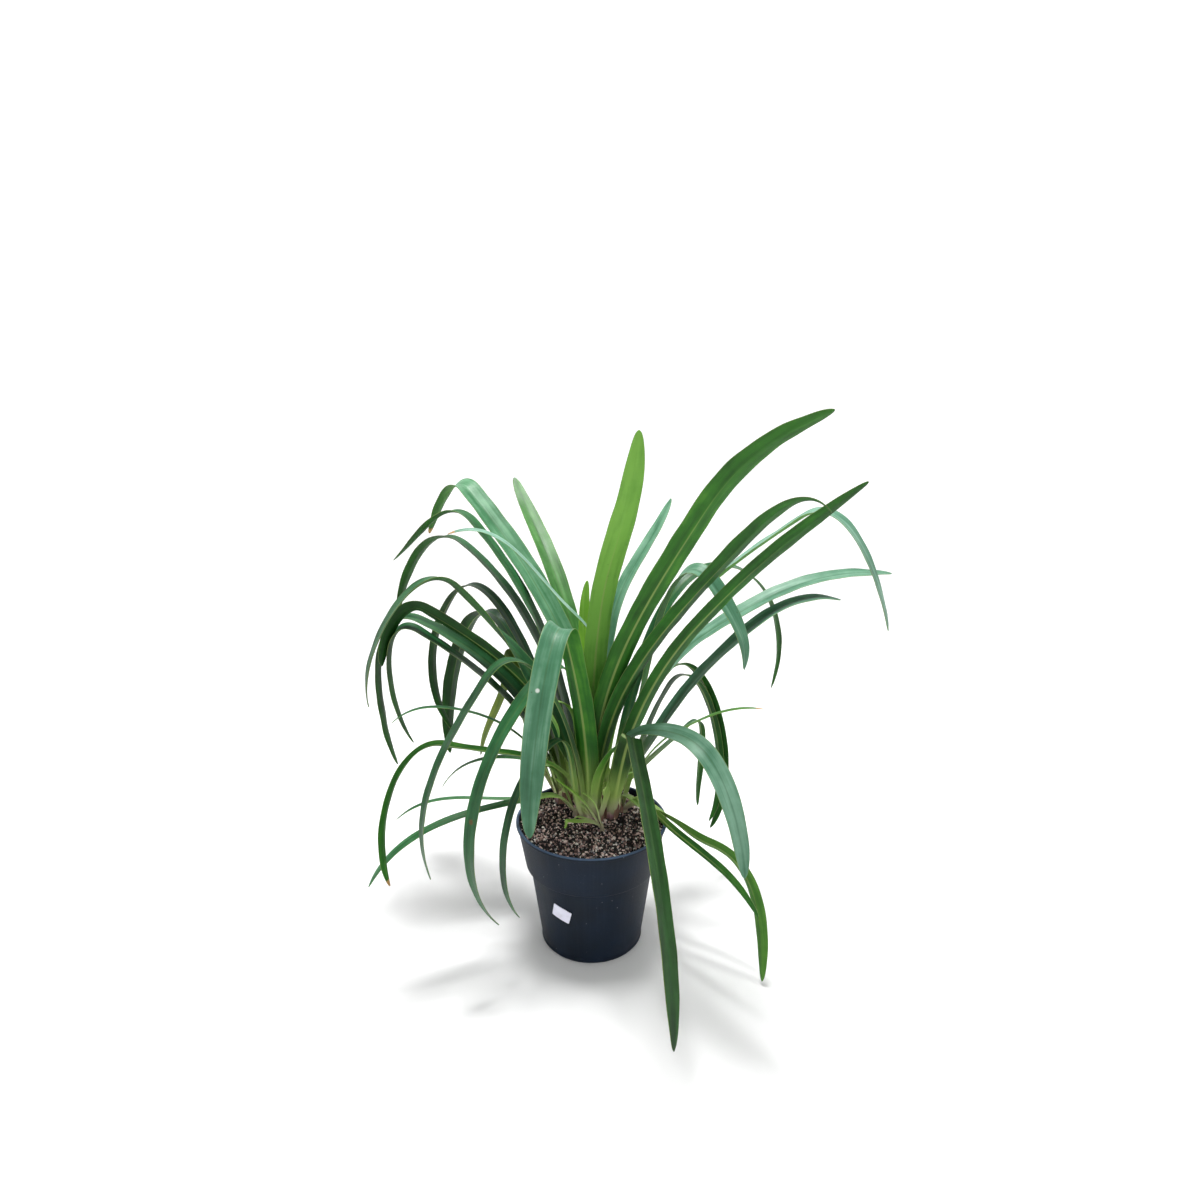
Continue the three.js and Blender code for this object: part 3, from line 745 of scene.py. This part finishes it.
EDGE_THICKNESS = 0.6
MIDDLE_THICKNESS = 1.6
CHANNEL_RADIUS = 26.0
TIGHTEST_RADIUS = 4.5
WIDEST_ANGLE = 1.3
BASE_WIDTH_SHARE = 0.7
FULL_WIDTH_SHARE = 0.18
TIP_START = 0.7
TIP_FULLNESS = 2.2
TIP_HALF_WIDTH = 0.6
HANDLE = 0.38
WRAPPED_SHARE = 0.02
OPEN_SHARE = 0.22
TURNED_SHARE = 0.35
LEAN_START = 0.04
LEAN_FULL = 0.2
LEAN_EASING = 0.3
LEAN_GONE = 0.6
ROOT_DEPTH = 9.0
WIDE_SECTION = np.array([0.07, 0.17, 0.36, 0.6, 0.82, 0.95, 1.0])
NARROW_SECTION = np.array([0.16, 0.5, 0.85, 1.0])
NARROW_WIDTH = 10.0
STATION_SPACING = 6.5
STATION_TURN = 0.12
STATION_NARROWING = 1.5
TWIST_WAVER = 0.05
WIDTH_WAVER = 0.03
RIPPLE_SHARE = 0.045
KEEL_HEIGHT = 0.45
KEEL_WIDTH = 1.3
MARGIN_BULGE = 0.25


def bend(start, start_slope, start_handle, end, end_slope, end_handle, count=400):
    span = np.linalg.norm(end - start)
    a = start + heading(start_slope) * start_handle * span
    b = end - heading(end_slope) * end_handle * span
    t = np.linspace(0, 1, count)[:, None]
    return (1 - t) ** 3 * start + 3 * (1 - t) ** 2 * t * a + 3 * (1 - t) * t * t * b + t ** 3 * end


def half_width(share, width):
    base = lerp(BASE_WIDTH_SHARE, 1, smoothstep(share, 0, FULL_WIDTH_SHARE))
    past = np.clip((share - TIP_START) / (1 - TIP_START), 0, 1)
    return np.maximum(TIP_HALF_WIDTH, width / 2 * base * np.sqrt(1 - past ** TIP_FULLNESS))


def spine_of(rise, mid, tip, fold, width):
    """The centreline in its own upright plane. Its stations crowd where it bends or narrows."""
    root, middle, end = np.zeros(2), np.array(mid[:2], float), np.array(tip[:2], float)
    path = np.vstack([bend(root, rise, HANDLE, middle, mid[2], fold),
                      bend(middle, mid[2], fold, end, tip[2], HANDLE)[1:]])
    steps = np.diff(path, axis=0)
    lengths = np.linalg.norm(steps, axis=1)
    travel = np.concatenate([[0], np.cumsum(lengths)])
    slope = np.unwrap(np.arctan2(steps[:, 1], steps[:, 0]))
    turning = np.abs(np.diff(slope, prepend=slope[0]))
    narrowing = np.abs(np.diff(half_width(travel / travel[-1], width)))
    needed = lengths / STATION_SPACING + turning / STATION_TURN + narrowing / STATION_NARROWING
    effort = np.concatenate([[0], np.cumsum(needed)])
    count = int(math.ceil(effort[-1]))
    at = np.interp(np.linspace(0, effort[-1], count + 1), effort, travel)
    return np.stack([np.interp(at, travel, path[:, k]) for k in (0, 1)], axis=1), at


def add_blade(shape, leaf, seed):
    """Adds one strap leaf: a closed blade with a channelled upper face and a keel beneath."""
    shoot, ring, azimuth, rise, mid, tip, width = (
        leaf[key] for key in ("shoot", "ring", "azimuth", "rise", "mid", "tip", "width"))
    shoot_x, shoot_y, _ = SHOOTS[shoot]
    flat, along = spine_of(rise, mid, tip, leaf.get("fold", HANDLE), width)
    length = along[-1]
    share = along / length
    outward = np.append(heading(azimuth), 0)
    sideways = np.array([-outward[1], outward[0], 0])
    root = np.array([shoot_x, shoot_y, ROOT_HEIGHT]) + outward * ring
    spine = root + flat[:, :1] * outward + (leaf.get("bow", 0) * share ** 2)[:, None] * sideways
    spine[:, 2] += flat[:, 1]
    below = np.array([-1.0, -0.5])[:, None] * ROOT_DEPTH * unit(spine[1] - spine[0])
    spine = np.vstack([root + below, spine])
    along = np.concatenate([[-ROOT_DEPTH, -ROOT_DEPTH / 2], along])
    share = np.clip(along / length, 0, 1)

    way = unit(np.gradient(spine, axis=0))
    level = unit(sideways - (way @ sideways)[:, None] * way)
    leaning = smoothstep(share, LEAN_START, LEAN_FULL) * (1 - smoothstep(share, LEAN_EASING, LEAN_GONE))
    turned = smoothstep(share, 0, TURNED_SHARE)
    twist = np.radians(leaf.get("turn", 0) * turned + leaf.get("lean", 0) * leaning)
    twist = twist + TWIST_WAVER * waves(along, seed + 3, 400, 150, 3) * smoothstep(along, 60, 250)
    edgeward = level * np.cos(twist)[:, None] + np.cross(way, level) * np.sin(twist)[:, None]
    upper = np.cross(way, edgeward)

    half = half_width(share, width)
    half = half * (1 + WIDTH_WAVER * waves(along, seed + 5, 260, 60, 4) * smoothstep(along, 30, 120))
    wrap = max(ring, TIGHTEST_RADIUS)
    radius = lerp(wrap, CHANNEL_RADIUS, smoothstep(share, WRAPPED_SHARE, OPEN_SHARE))
    spread = np.minimum(half / radius, WIDEST_ANGLE)
    sag = radius * (1 - np.cos(spread))
    places = NARROW_SECTION if width < NARROW_WIDTH else WIDE_SECTION
    section = np.concatenate([-places[::-1], [0], places])
    size = len(section)
    ripple_size = RIPPLE_SHARE * width * smoothstep(along, 50, 220)
    ripples = [waves(along, seed + side, 210, 38, 5) * ripple_size * 0.5 for side in (0, 1)]
    thin = np.minimum(1, half / 3)

    rows, fields = [], {name: [] for name in ("across", "edge", "upper")}
    for side in (1, -1):
        face = []
        for place in section[::side]:
            keel = KEEL_HEIGHT * np.exp(-(place * half / KEEL_WIDTH) ** 2) * (side < 0)
            keel = keel * (1 - smoothstep(share, 0.6, 0.95))
            thickness = lerp(MIDDLE_THICKNESS, EDGE_THICKNESS, place * place) * lerp(0.7, 1, thin)
            out = radius - side * (thickness / 2 + keel * thin)
            lift = radius - out * np.cos(place * spread)
            lift = lift + sag * (abs(place) ** 1.25 - place * place) * 0.8
            lift = lift + ripples[int(place > 0)] * abs(place) ** 1.6
            face.append(spine + edgeward * (out * np.sin(place * spread))[:, None] + upper * lift[:, None])
            fields["across"].append(place * half)
            fields["edge"].append(np.full(len(spine), abs(place)))
            fields["upper"].append(np.full(len(spine), (side + 1) / 2))
        rows += face
        margin = rows[-1] + edgeward * (MARGIN_BULGE * side * thin)[:, None]
        rows.append(margin)
        fields["across"].append(section[::side][-1] * half)
        fields["edge"].append(np.ones(len(spine)))
        fields["upper"].append(np.full(len(spine), 0.5))
    for k, other in ((size, size + 1), (2 * size + 1, 0)):
        between = (rows[k - 1] + rows[other]) / 2
        rows[k] = rows[k] - rows[k - 1] + between
    ring_size = len(rows)
    points = np.stack(rows, axis=1)
    faces = grid_faces(len(spine), ring_size, closed=True)
    faces = [face[::-1] for face in faces]
    last = (len(spine) - 1) * ring_size
    faces += [tuple(range(ring_size)), tuple(last + i for i in range(ring_size))[::-1]]
    dry = leaf.get("dry", 0.0)
    dried = smoothstep(share, 1 - 2 * dry, 1 - dry * 0.4) if dry else np.zeros(len(share))
    per_row = {"along": along, "share": share, "dry": dried}
    shape.add(points, faces,
              **{name: np.stack(values, axis=1).ravel() for name, values in fields.items()},
              **{name: np.repeat(values, ring_size) for name, values in per_row.items()},
              tone=leaf.get("tone", 0.0), warm=leaf.get("warm", 0.0), seed=(seed % 97) / 97)


# ---- the leaves ----
# ring: how far the root stands from the middle of its shoot. azimuth: where the leaf grows to.
# rise: its slope at the root. mid and tip: (reach, height above the root, slope).
# turn: how far the blade twists for good. lean: a twist of its rising half alone.
# bow: how far its tip swings sideways. fold: a kink at mid.
# The rows of both tables were fitted by a program, on a grid of 5 mm for reach and height.


def leaf(name, ring, azimuth, rise, mid, tip, **rest):
    """A leaf's row. The first word of its name is the shoot it grows from."""
    return dict(name=name, shoot=name.split("_")[0], ring=ring, azimuth=azimuth, rise=rise, mid=mid, tip=tip,
                **rest)


LARGE_LEAVES = [
    leaf("main_01", 5, 105, 83, (15, 145, 72), (50, 310, 112), width=19, turn=15, bow=-10),
    leaf("main_02", 1, 285, 89, (30, 295, 71), (140, 520, 87), width=30, turn=-15, bow=14),
    leaf("main_03", 11, 253, 89, (80, 280, 61), (200, 90, -92), width=32, turn=-10, bow=-6),
    leaf("main_04", 5, 306, 93, (185, 435, 53), (340, 550, 22), width=29, turn=-30, bow=8),
    leaf("main_05", 7, 220, 82, (75, 220, -31), (165, -70, -127), width=21, turn=-5, bow=30),
    leaf("main_06", 9, 321, 91, (185, 385, 49), (295, 445, -46), width=26, turn=-25, bow=2),
    leaf("main_07", 13, 209, 93, (130, 225, -51), (215, -15, -105), width=18, bow=11),
    leaf("main_08", 15, 323, 71, (135, 295, 51), (315, 475, 40), width=21, turn=-40, bow=14),
    leaf("main_09", 13, 303, 96, (170, 185, 4), (265, 55, -86), width=24, turn=25, bow=15),
    leaf("main_10", 15, 228, 56, (60, 130, -19), (110, -95, -126), width=12, bow=-11),
    leaf("mid_01", 6, 114, 85, (70, 285, 45), (240, 415, 39), width=26, turn=-5, bow=5),
    leaf("mid_02", 10, 45, 83, (40, 240, 75), (165, 400, 57), width=22, bow=6),
    leaf("mid_03", 0, 136, 109, (205, 410, 39), (290, 340, -63), width=35, turn=-10, bow=26),
    leaf("mid_04", 8, 156, 84, (155, 380, 44), (285, 315, -37), width=24, turn=5, bow=-1),
    leaf("mid_05", 4, 197, 83, (5, 270, 45), (160, 380, -22), width=10, turn=-20, bow=-37),
    leaf("mid_06", 13, 151, 82, (175, 345, 30), (295, 225, -82), width=23, turn=10, bow=5),
    leaf("mid_07", 11, 210, 84, (165, 335, 49), (275, 210, -100), width=26, turn=10, bow=8,
         lean=-90),
    leaf("mid_08", 13, 205, 90, (180, 135, 25), (265, -20, -106), width=18, turn=45, bow=42),
    leaf("mid_09", 6, 228, 78, (55, 170, 9), (40, 115, -85), width=10, bow=-4),
    leaf("left_01", 4, 145, 86, (190, 260, -50), (195, 55, -140), width=19, bow=15),
    leaf("left_02", 10, 136, 74, (110, 225, 41), (225, -5, -105), width=28, turn=5, bow=23),
    leaf("left_03", 0, 182, 96, (180, 275, 33), (240, 200, -85), width=25, turn=50, bow=7),
    leaf("left_04", 8, 174, 86, (185, 250, 25), (230, 40, -108), width=26, bow=4, lean=-30),
    leaf("left_05", 12, 183, 80, (180, 245, 34), (195, 85, -119), width=26, bow=-7),
    leaf("left_06", 14, 161, 53, (70, 185, -87), (115, 45, -82), width=14, turn=-65, bow=3),
    leaf("left_07", 14, 190, 79, (120, 140, 18), (215, 130, -44), width=6, turn=-10, bow=-1),
    leaf("back_01", 3, 333, 91, (245, 415, 37), (350, 295, -76), width=25, turn=5),
    leaf("back_02", 6, 35, 74, (205, 300, -11), (315, 85, -115), width=18, turn=15),
    leaf("back_03", 8, 7, 70, (125, 230, 33), (385, 305, -7), width=27, turn=15, bow=6),
    leaf("back_04", 12, 7, 55, (145, 205, 44), (305, 275, -16), width=24, turn=10, bow=-8),
    leaf("back_05", 10, 27, 69, (80, 160, 53), (165, -95, -128), width=18, turn=-20, bow=-7),
    leaf("back_06", 14, 28, 47, (85, 145, 53), (155, -80, -128), width=15, turn=-15, bow=-14),
    leaf("back_07", 17, 17, 50, (105, 90, 39), (125, -40, -83), width=15, turn=-10, bow=3),
    leaf("back_08", 14, 344, 52, (90, 115, 33), (195, 155, -2), width=7, turn=5, bow=1),
    leaf("right_01", 4, 325, 69, (145, 330, -53), (180, 245, -96), width=26, turn=15, bow=-1),
    leaf("right_02", 8, 283, 68, (110, 160, -44), (345, -60, -66), width=23, turn=-25, bow=-26,
         fold=0.12),
    leaf("right_03", 0, 9, 77, (5, 45, 43), (35, 55, -84), width=4, turn=-5, bow=-5),
]

SIDE_SHOOT_LEAVES = [
    leaf("edge_1", 6, 332, 49, (125, -15, -4), (210, -170, -84), width=22, turn=-65, bow=-37),
    leaf("edge_2", 4, 316, 50, (40, 25, -31), (225, -50, -45), width=14, turn=-85, bow=-12),
    leaf("edge_3", 5, 200, 74, (0, 40, 93), (-10, 90, 94), width=12, turn=5, bow=5),
    leaf("edge_4", 0, 21, 80, (10, 40, 74), (20, 75, 70), width=12, bow=-5),
    leaf("edge_5", 0, 312, 55, (0, 20, 28), (40, 20, -18), width=9, bow=-6),
    leaf("small_1", 1, 164, 63, (50, 70, 6), (190, 15, -61), width=7, turn=-15, bow=7),
    leaf("small_2", 0, 186, 45, (40, 30, -11), (235, 10, -42), width=7, turn=-5, bow=8),
    leaf("small_3", 1, 203, 67, (45, 35, 1), (275, -40, -61), width=11, turn=-15, bow=-2),
    leaf("front_1", 0, 150, 79, (5, 20, 85), (25, 50, 19), width=3, bow=10),
    leaf("front_2", 1, 159, 54, (15, 25, 59), (55, 70, 47), width=4, bow=19),
    leaf("front_3", 1, 201, 60, (45, 20, 15), (50, 10, -30), width=9, bow=-3),
    leaf("front_4", 0, 172, 60, (30, 15, 13), (40, 10, -12), width=4, bow=1),
]

# How single leaves differ. tone: below 0 darker, above 0 paler. warm: below 0 bluer, above 0
# yellower. dry: the share of the length, from the tip, that has dried.
LOOKS = {
    "main_02": dict(tone=1.0, warm=0.8),
    "main_03": dict(tone=0.1, warm=-0.35),
    "main_04": dict(tone=-0.1, warm=0.15),
    "main_05": dict(tone=-0.4),
    "main_06": dict(tone=-0.4, warm=0.05),
    "main_07": dict(tone=-0.5),
    "main_08": dict(tone=-0.4, warm=0.05),
    "main_09": dict(tone=0.4, warm=-0.5),
    "main_10": dict(tone=-0.6),
    "mid_01": dict(tone=-0.1, warm=0.4),
    "mid_02": dict(tone=0.2, warm=-0.4),
    "mid_03": dict(tone=0.3, warm=-0.15, dry=0.012),
    "mid_05": dict(tone=0.6, warm=-0.7, dry=0.015),
    "mid_08": dict(tone=0.0, warm=-0.2, dry=0.015),
    "left_01": dict(tone=-1.0),
    "left_02": dict(tone=-1.0),
    "left_03": dict(tone=-0.8),
    "left_04": dict(tone=-0.7),
    "left_05": dict(tone=-0.6),
    "mid_04": dict(tone=-0.4),
    "mid_06": dict(tone=-0.5),
    "mid_07": dict(tone=-0.5),
    "mid_09": dict(tone=0.9, warm=1.0),
    "front_1": dict(tone=-1.2),
    "front_2": dict(tone=-0.9),
    "front_3": dict(tone=-0.5),
    "front_4": dict(tone=-0.5),
    "back_02": dict(tone=-0.4),
    "back_04": dict(tone=-0.1, warm=-0.5),
    "back_05": dict(tone=-0.5),
    "back_06": dict(tone=-0.4),
    "back_08": dict(tone=-0.3, warm=0.8, dry=0.03),
    "right_02": dict(tone=-1.3, warm=0.45),
    "back_01": dict(tone=0.3, warm=-0.6),
    "back_03": dict(tone=0.2, warm=-0.5),
    "right_01": dict(tone=0.0, warm=-0.4),
    "edge_1": dict(tone=0.1, warm=0.5),
}


# ---- crowns ----


def add_sheath(shape, x, y, radius, azimuth, half_angle, bottom, top, seed, flare=0.0, thickness=0.9):
    """A leaf base with no blade left: a curved shell, highest in its middle, with a ragged top."""
    columns, rows = 17, 12
    turn = np.linspace(-1, 1, columns)
    angles = np.radians(azimuth + turn * half_angle)
    peak = top - (top - bottom) * 0.45 * np.abs(turn) ** 1.8 + 1.6 * waves(turn * 30, seed, 22, 5)
    climb = np.linspace(0, 1, rows)[:, None]
    height = bottom + (peak - bottom)[None] * climb
    layers = []
    for depth in (thickness / 2, -thickness / 2):
        reach = radius + depth + flare * climb ** 2 + 0.5 * waves(turn * 30 + climb * 20, seed + 1, 30, 9)
        layers.append(np.stack([x + reach * np.cos(angles), y + reach * np.sin(angles), height], axis=-1))
    shape.add(np.stack(layers), sheet_faces(rows, columns))


# Rows of share of the shoot's radius, height and corner radius.
CROWN_PROFILE = [(0, 157, 0), (0.8, 157, 3), (1, 164, 4), (0.97, 174, 5), (0.78, 181, 4), (0.45, 184, 3),
                 (0, 185, 0)]
STEM_PROFILE = [(0, 157, 0), (0.8, 157, 1), (1, 164, 2), (0.9, 175, 2), (0.6, 181, 2), (0, 184, 0)]
CROWNS = ("main", "mid", "left", "right", "back")
CROWN_SEED = 40
CROWN_SEED_STEP = 9
CROWN_SHEATHS = 12
CROWN_SHEATH_FOOT = 168
DEAD_SHEATH_FOOT = 167


def bulb(profile, radius, segments, x, y):
    rows = [(radius * share, height, corner) for share, height, corner in profile]
    return lathe(rounded(rows), segments, x, y)


def make_crown(name, seed, material):
    """A bulb-like crown with the overlapping bases of the leaves it has shed."""
    x, y, radius = SHOOTS[name]
    draw = np.random.default_rng(seed)
    crown = Shape()
    points, faces = bulb(CROWN_PROFILE, radius, 48, x, y)
    around = np.arctan2(points[:, 1] - y, points[:, 0] - x)
    swell = 1 + 0.03 * np.sin(around * 5 + seed) + 0.02 * np.sin(around * 11 + points[:, 2] * 0.3)
    points[:, 0] = x + (points[:, 0] - x) * swell
    points[:, 1] = y + (points[:, 1] - y) * swell
    crown.add(points, faces)
    for k in range(CROWN_SHEATHS):
        azimuth = draw.uniform(0, 360)
        reach = radius * (0.5 + 0.05 * k)
        add_sheath(crown, x, y, reach, azimuth, draw.uniform(36, 64), CROWN_SHEATH_FOOT,
                   draw.uniform(188, 216), seed + k, flare=draw.uniform(1.0, 4.5))
    crown.piece(f"fleshy_crown_{name}", material, "crown", f"crown_{name}")


def make_crowns():
    material = crown_material()
    for order, name in enumerate(CROWNS):
        make_crown(name, CROWN_SEED + CROWN_SEED_STEP * order, material)


# Dead leaf bases: shoot, azimuth, half angle, top height, share of the shoot's radius.
DEAD_SHEATHS = [
    ("main", 60, 38, 206, 1.02), ("main", 350, 30, 198, 1.05), ("main", 200, 24, 190, 1.04),
    ("mid", 300, 34, 202, 1.02), ("mid", 120, 40, 196, 1.04), ("left", 260, 36, 200, 1.02),
    ("left", 30, 30, 194, 1.04), ("back", 280, 36, 200, 1.02), ("back", 60, 40, 196, 1.03),
    ("right", 200, 40, 204, 1.04), ("right", 320, 30, 194, 1.06), ("edge", 240, 36, 192, 1.06),
]


def make_dead_sheaths():
    dead = Shape()
    for k, (shoot, azimuth, half_angle, top, share) in enumerate(DEAD_SHEATHS):
        x, y, radius = SHOOTS[shoot]
        add_sheath(dead, x, y, radius * share, azimuth, half_angle, DEAD_SHEATH_FOOT, top, 60 + k,
                   flare=1.2, thickness=0.5)
    dead.piece("dead_sheaths", papery_material(), "crown")


# ---- the whole plant ----


LEAF_SLOTS = {"main_01": "young_leaf", "left_06": "old_leaf"}
SIDE_SHOOT_SLOTS = {"edge": "leaf", "small": "leaf", "front": "young_leaf"}


def leaf_materials():
    """The finish of each of the record's leaf slots."""
    leaf_green = leaf_material(
        "agapanthus_leaf", [linear(16, 64, 32), linear(48, 106, 60), linear(104, 158, 114)],
        [linear(12, 58, 8), linear(34, 100, 18), linear(82, 150, 36)],
        linear(148, 168, 92), linear(172, 204, 106), linear(104, 164, 44))
    leaf_young = leaf_material(
        "young_leaf", [linear(112, 176, 44), linear(146, 204, 66), linear(178, 222, 100)],
        [linear(104, 168, 40), linear(136, 194, 56), linear(168, 214, 84)],
        linear(170, 196, 104), linear(170, 200, 110), linear(150, 200, 60))
    leaf_old = leaf_material(
        "drying_leaf", [linear(52, 78, 22), linear(92, 118, 36), linear(142, 160, 60)],
        [linear(46, 72, 20), linear(84, 110, 32), linear(134, 152, 54)],
        linear(156, 146, 80), linear(150, 150, 80), linear(150, 150, 50))
    return {"leaf": leaf_green, "young_leaf": leaf_young, "old_leaf": leaf_old}


def make_leaves():
    materials = leaf_materials()
    for k, row in enumerate(LARGE_LEAVES):
        name = row["name"]
        slot = LEAF_SLOTS.get(name, "leaf")
        blade = Shape()
        add_blade(blade, {**row, **LOOKS.get(name, {})}, 100 + 11 * k)
        blade.piece(f"fine_leaf_{name}", materials[slot], slot, f"leaf_{name}")
    for shoot, slot in SIDE_SHOOT_SLOTS.items():
        x, y, radius = SHOOTS[shoot]
        tuft = Shape()
        points, faces = bulb(STEM_PROFILE, radius, 32, x, y)
        tuft.add(points, faces, across=4.0, edge=0.3, along=points[:, 2] - ROOT_HEIGHT, share=0.0, upper=0.5,
                 dry=0.0, tone=0.2, warm=0.3, seed=0.5)
        for k, row in enumerate(SIDE_SHOOT_LEAVES):
            if row["shoot"] == shoot:
                add_blade(tuft, {**row, **LOOKS.get(row["name"], {})}, 700 + 13 * k)
        tuft.piece(f"fine_shoot_{shoot}", materials[slot], slot, f"shoot_{shoot}")


SKY_STRENGTH = 0.2
LIGHTS_AIM = (0, 0, 0.35)
# Each light's name, place, energy and size.
LIGHTS = [
    ("key", (-0.05, 0.2, 2.6), 84.0, 0.7),
    ("fill", (1.9, -1.4, 1.2), 4.0, 1.8),
    ("back", (0.4, 2.0, 2.2), 6.0, 1.8),
]
FLOOR_SEGMENTS = 96


def make_light(name, place, energy, size):
    lamp = bpy.data.lights.new(name, "AREA")
    lamp.energy = energy
    lamp.shape = "DISK"
    lamp.size = size
    light = bpy.data.objects.new(name, lamp)
    light.location = place
    aim = Vector(LIGHTS_AIM) - Vector(place)
    light.rotation_euler = aim.to_track_quat("-Z", "Y").to_euler()
    SCENE.objects.link(light)


def make_studio():
    """A pale floor that curves up all round into a pale wall, under a white sky."""
    profile = rounded([(0, 0, 0), (6000, 0, 2500), (6800, 5000, 0)], steps=16)
    turns = np.linspace(0, 2 * math.pi, FLOOR_SEGMENTS + 1)[:-1]
    rows = []
    for r, z in profile:
        reach = max(r, 0.01)
        rows.append(np.column_stack([reach * np.cos(turns), reach * np.sin(turns), np.full(len(turns), z)]))
    mesh = bpy.data.meshes.new("studio_floor")
    faces = grid_faces(len(rows), FLOOR_SEGMENTS, closed=True)
    mesh.from_pydata((np.vstack(rows) * MM).tolist(), [], faces)
    mesh.polygons.foreach_set("use_smooth", [True] * len(mesh.polygons))
    mesh.materials.append(floor_material())
    floor = bpy.data.objects.new("studio_floor", mesh)
    SCENE.objects.link(floor)
    bpy.context.scene.view_settings.view_transform = "Standard"
    world = bpy.data.worlds.new("studio")
    bpy.context.scene.world = world
    world.use_nodes = True
    sky = world.node_tree.nodes["Background"]
    sky.inputs["Color"].default_value = (1.0, 1.0, 1.0, 1.0)
    sky.inputs["Strength"].default_value = SKY_STRENGTH
    for light in LIGHTS:
        make_light(*light)


make_camera()
make_studio()
make_pot()
make_label()
make_bed()
make_grit()
make_crowns()
make_dead_sheaths()
make_leaves()

bpy.context.view_layer.update()
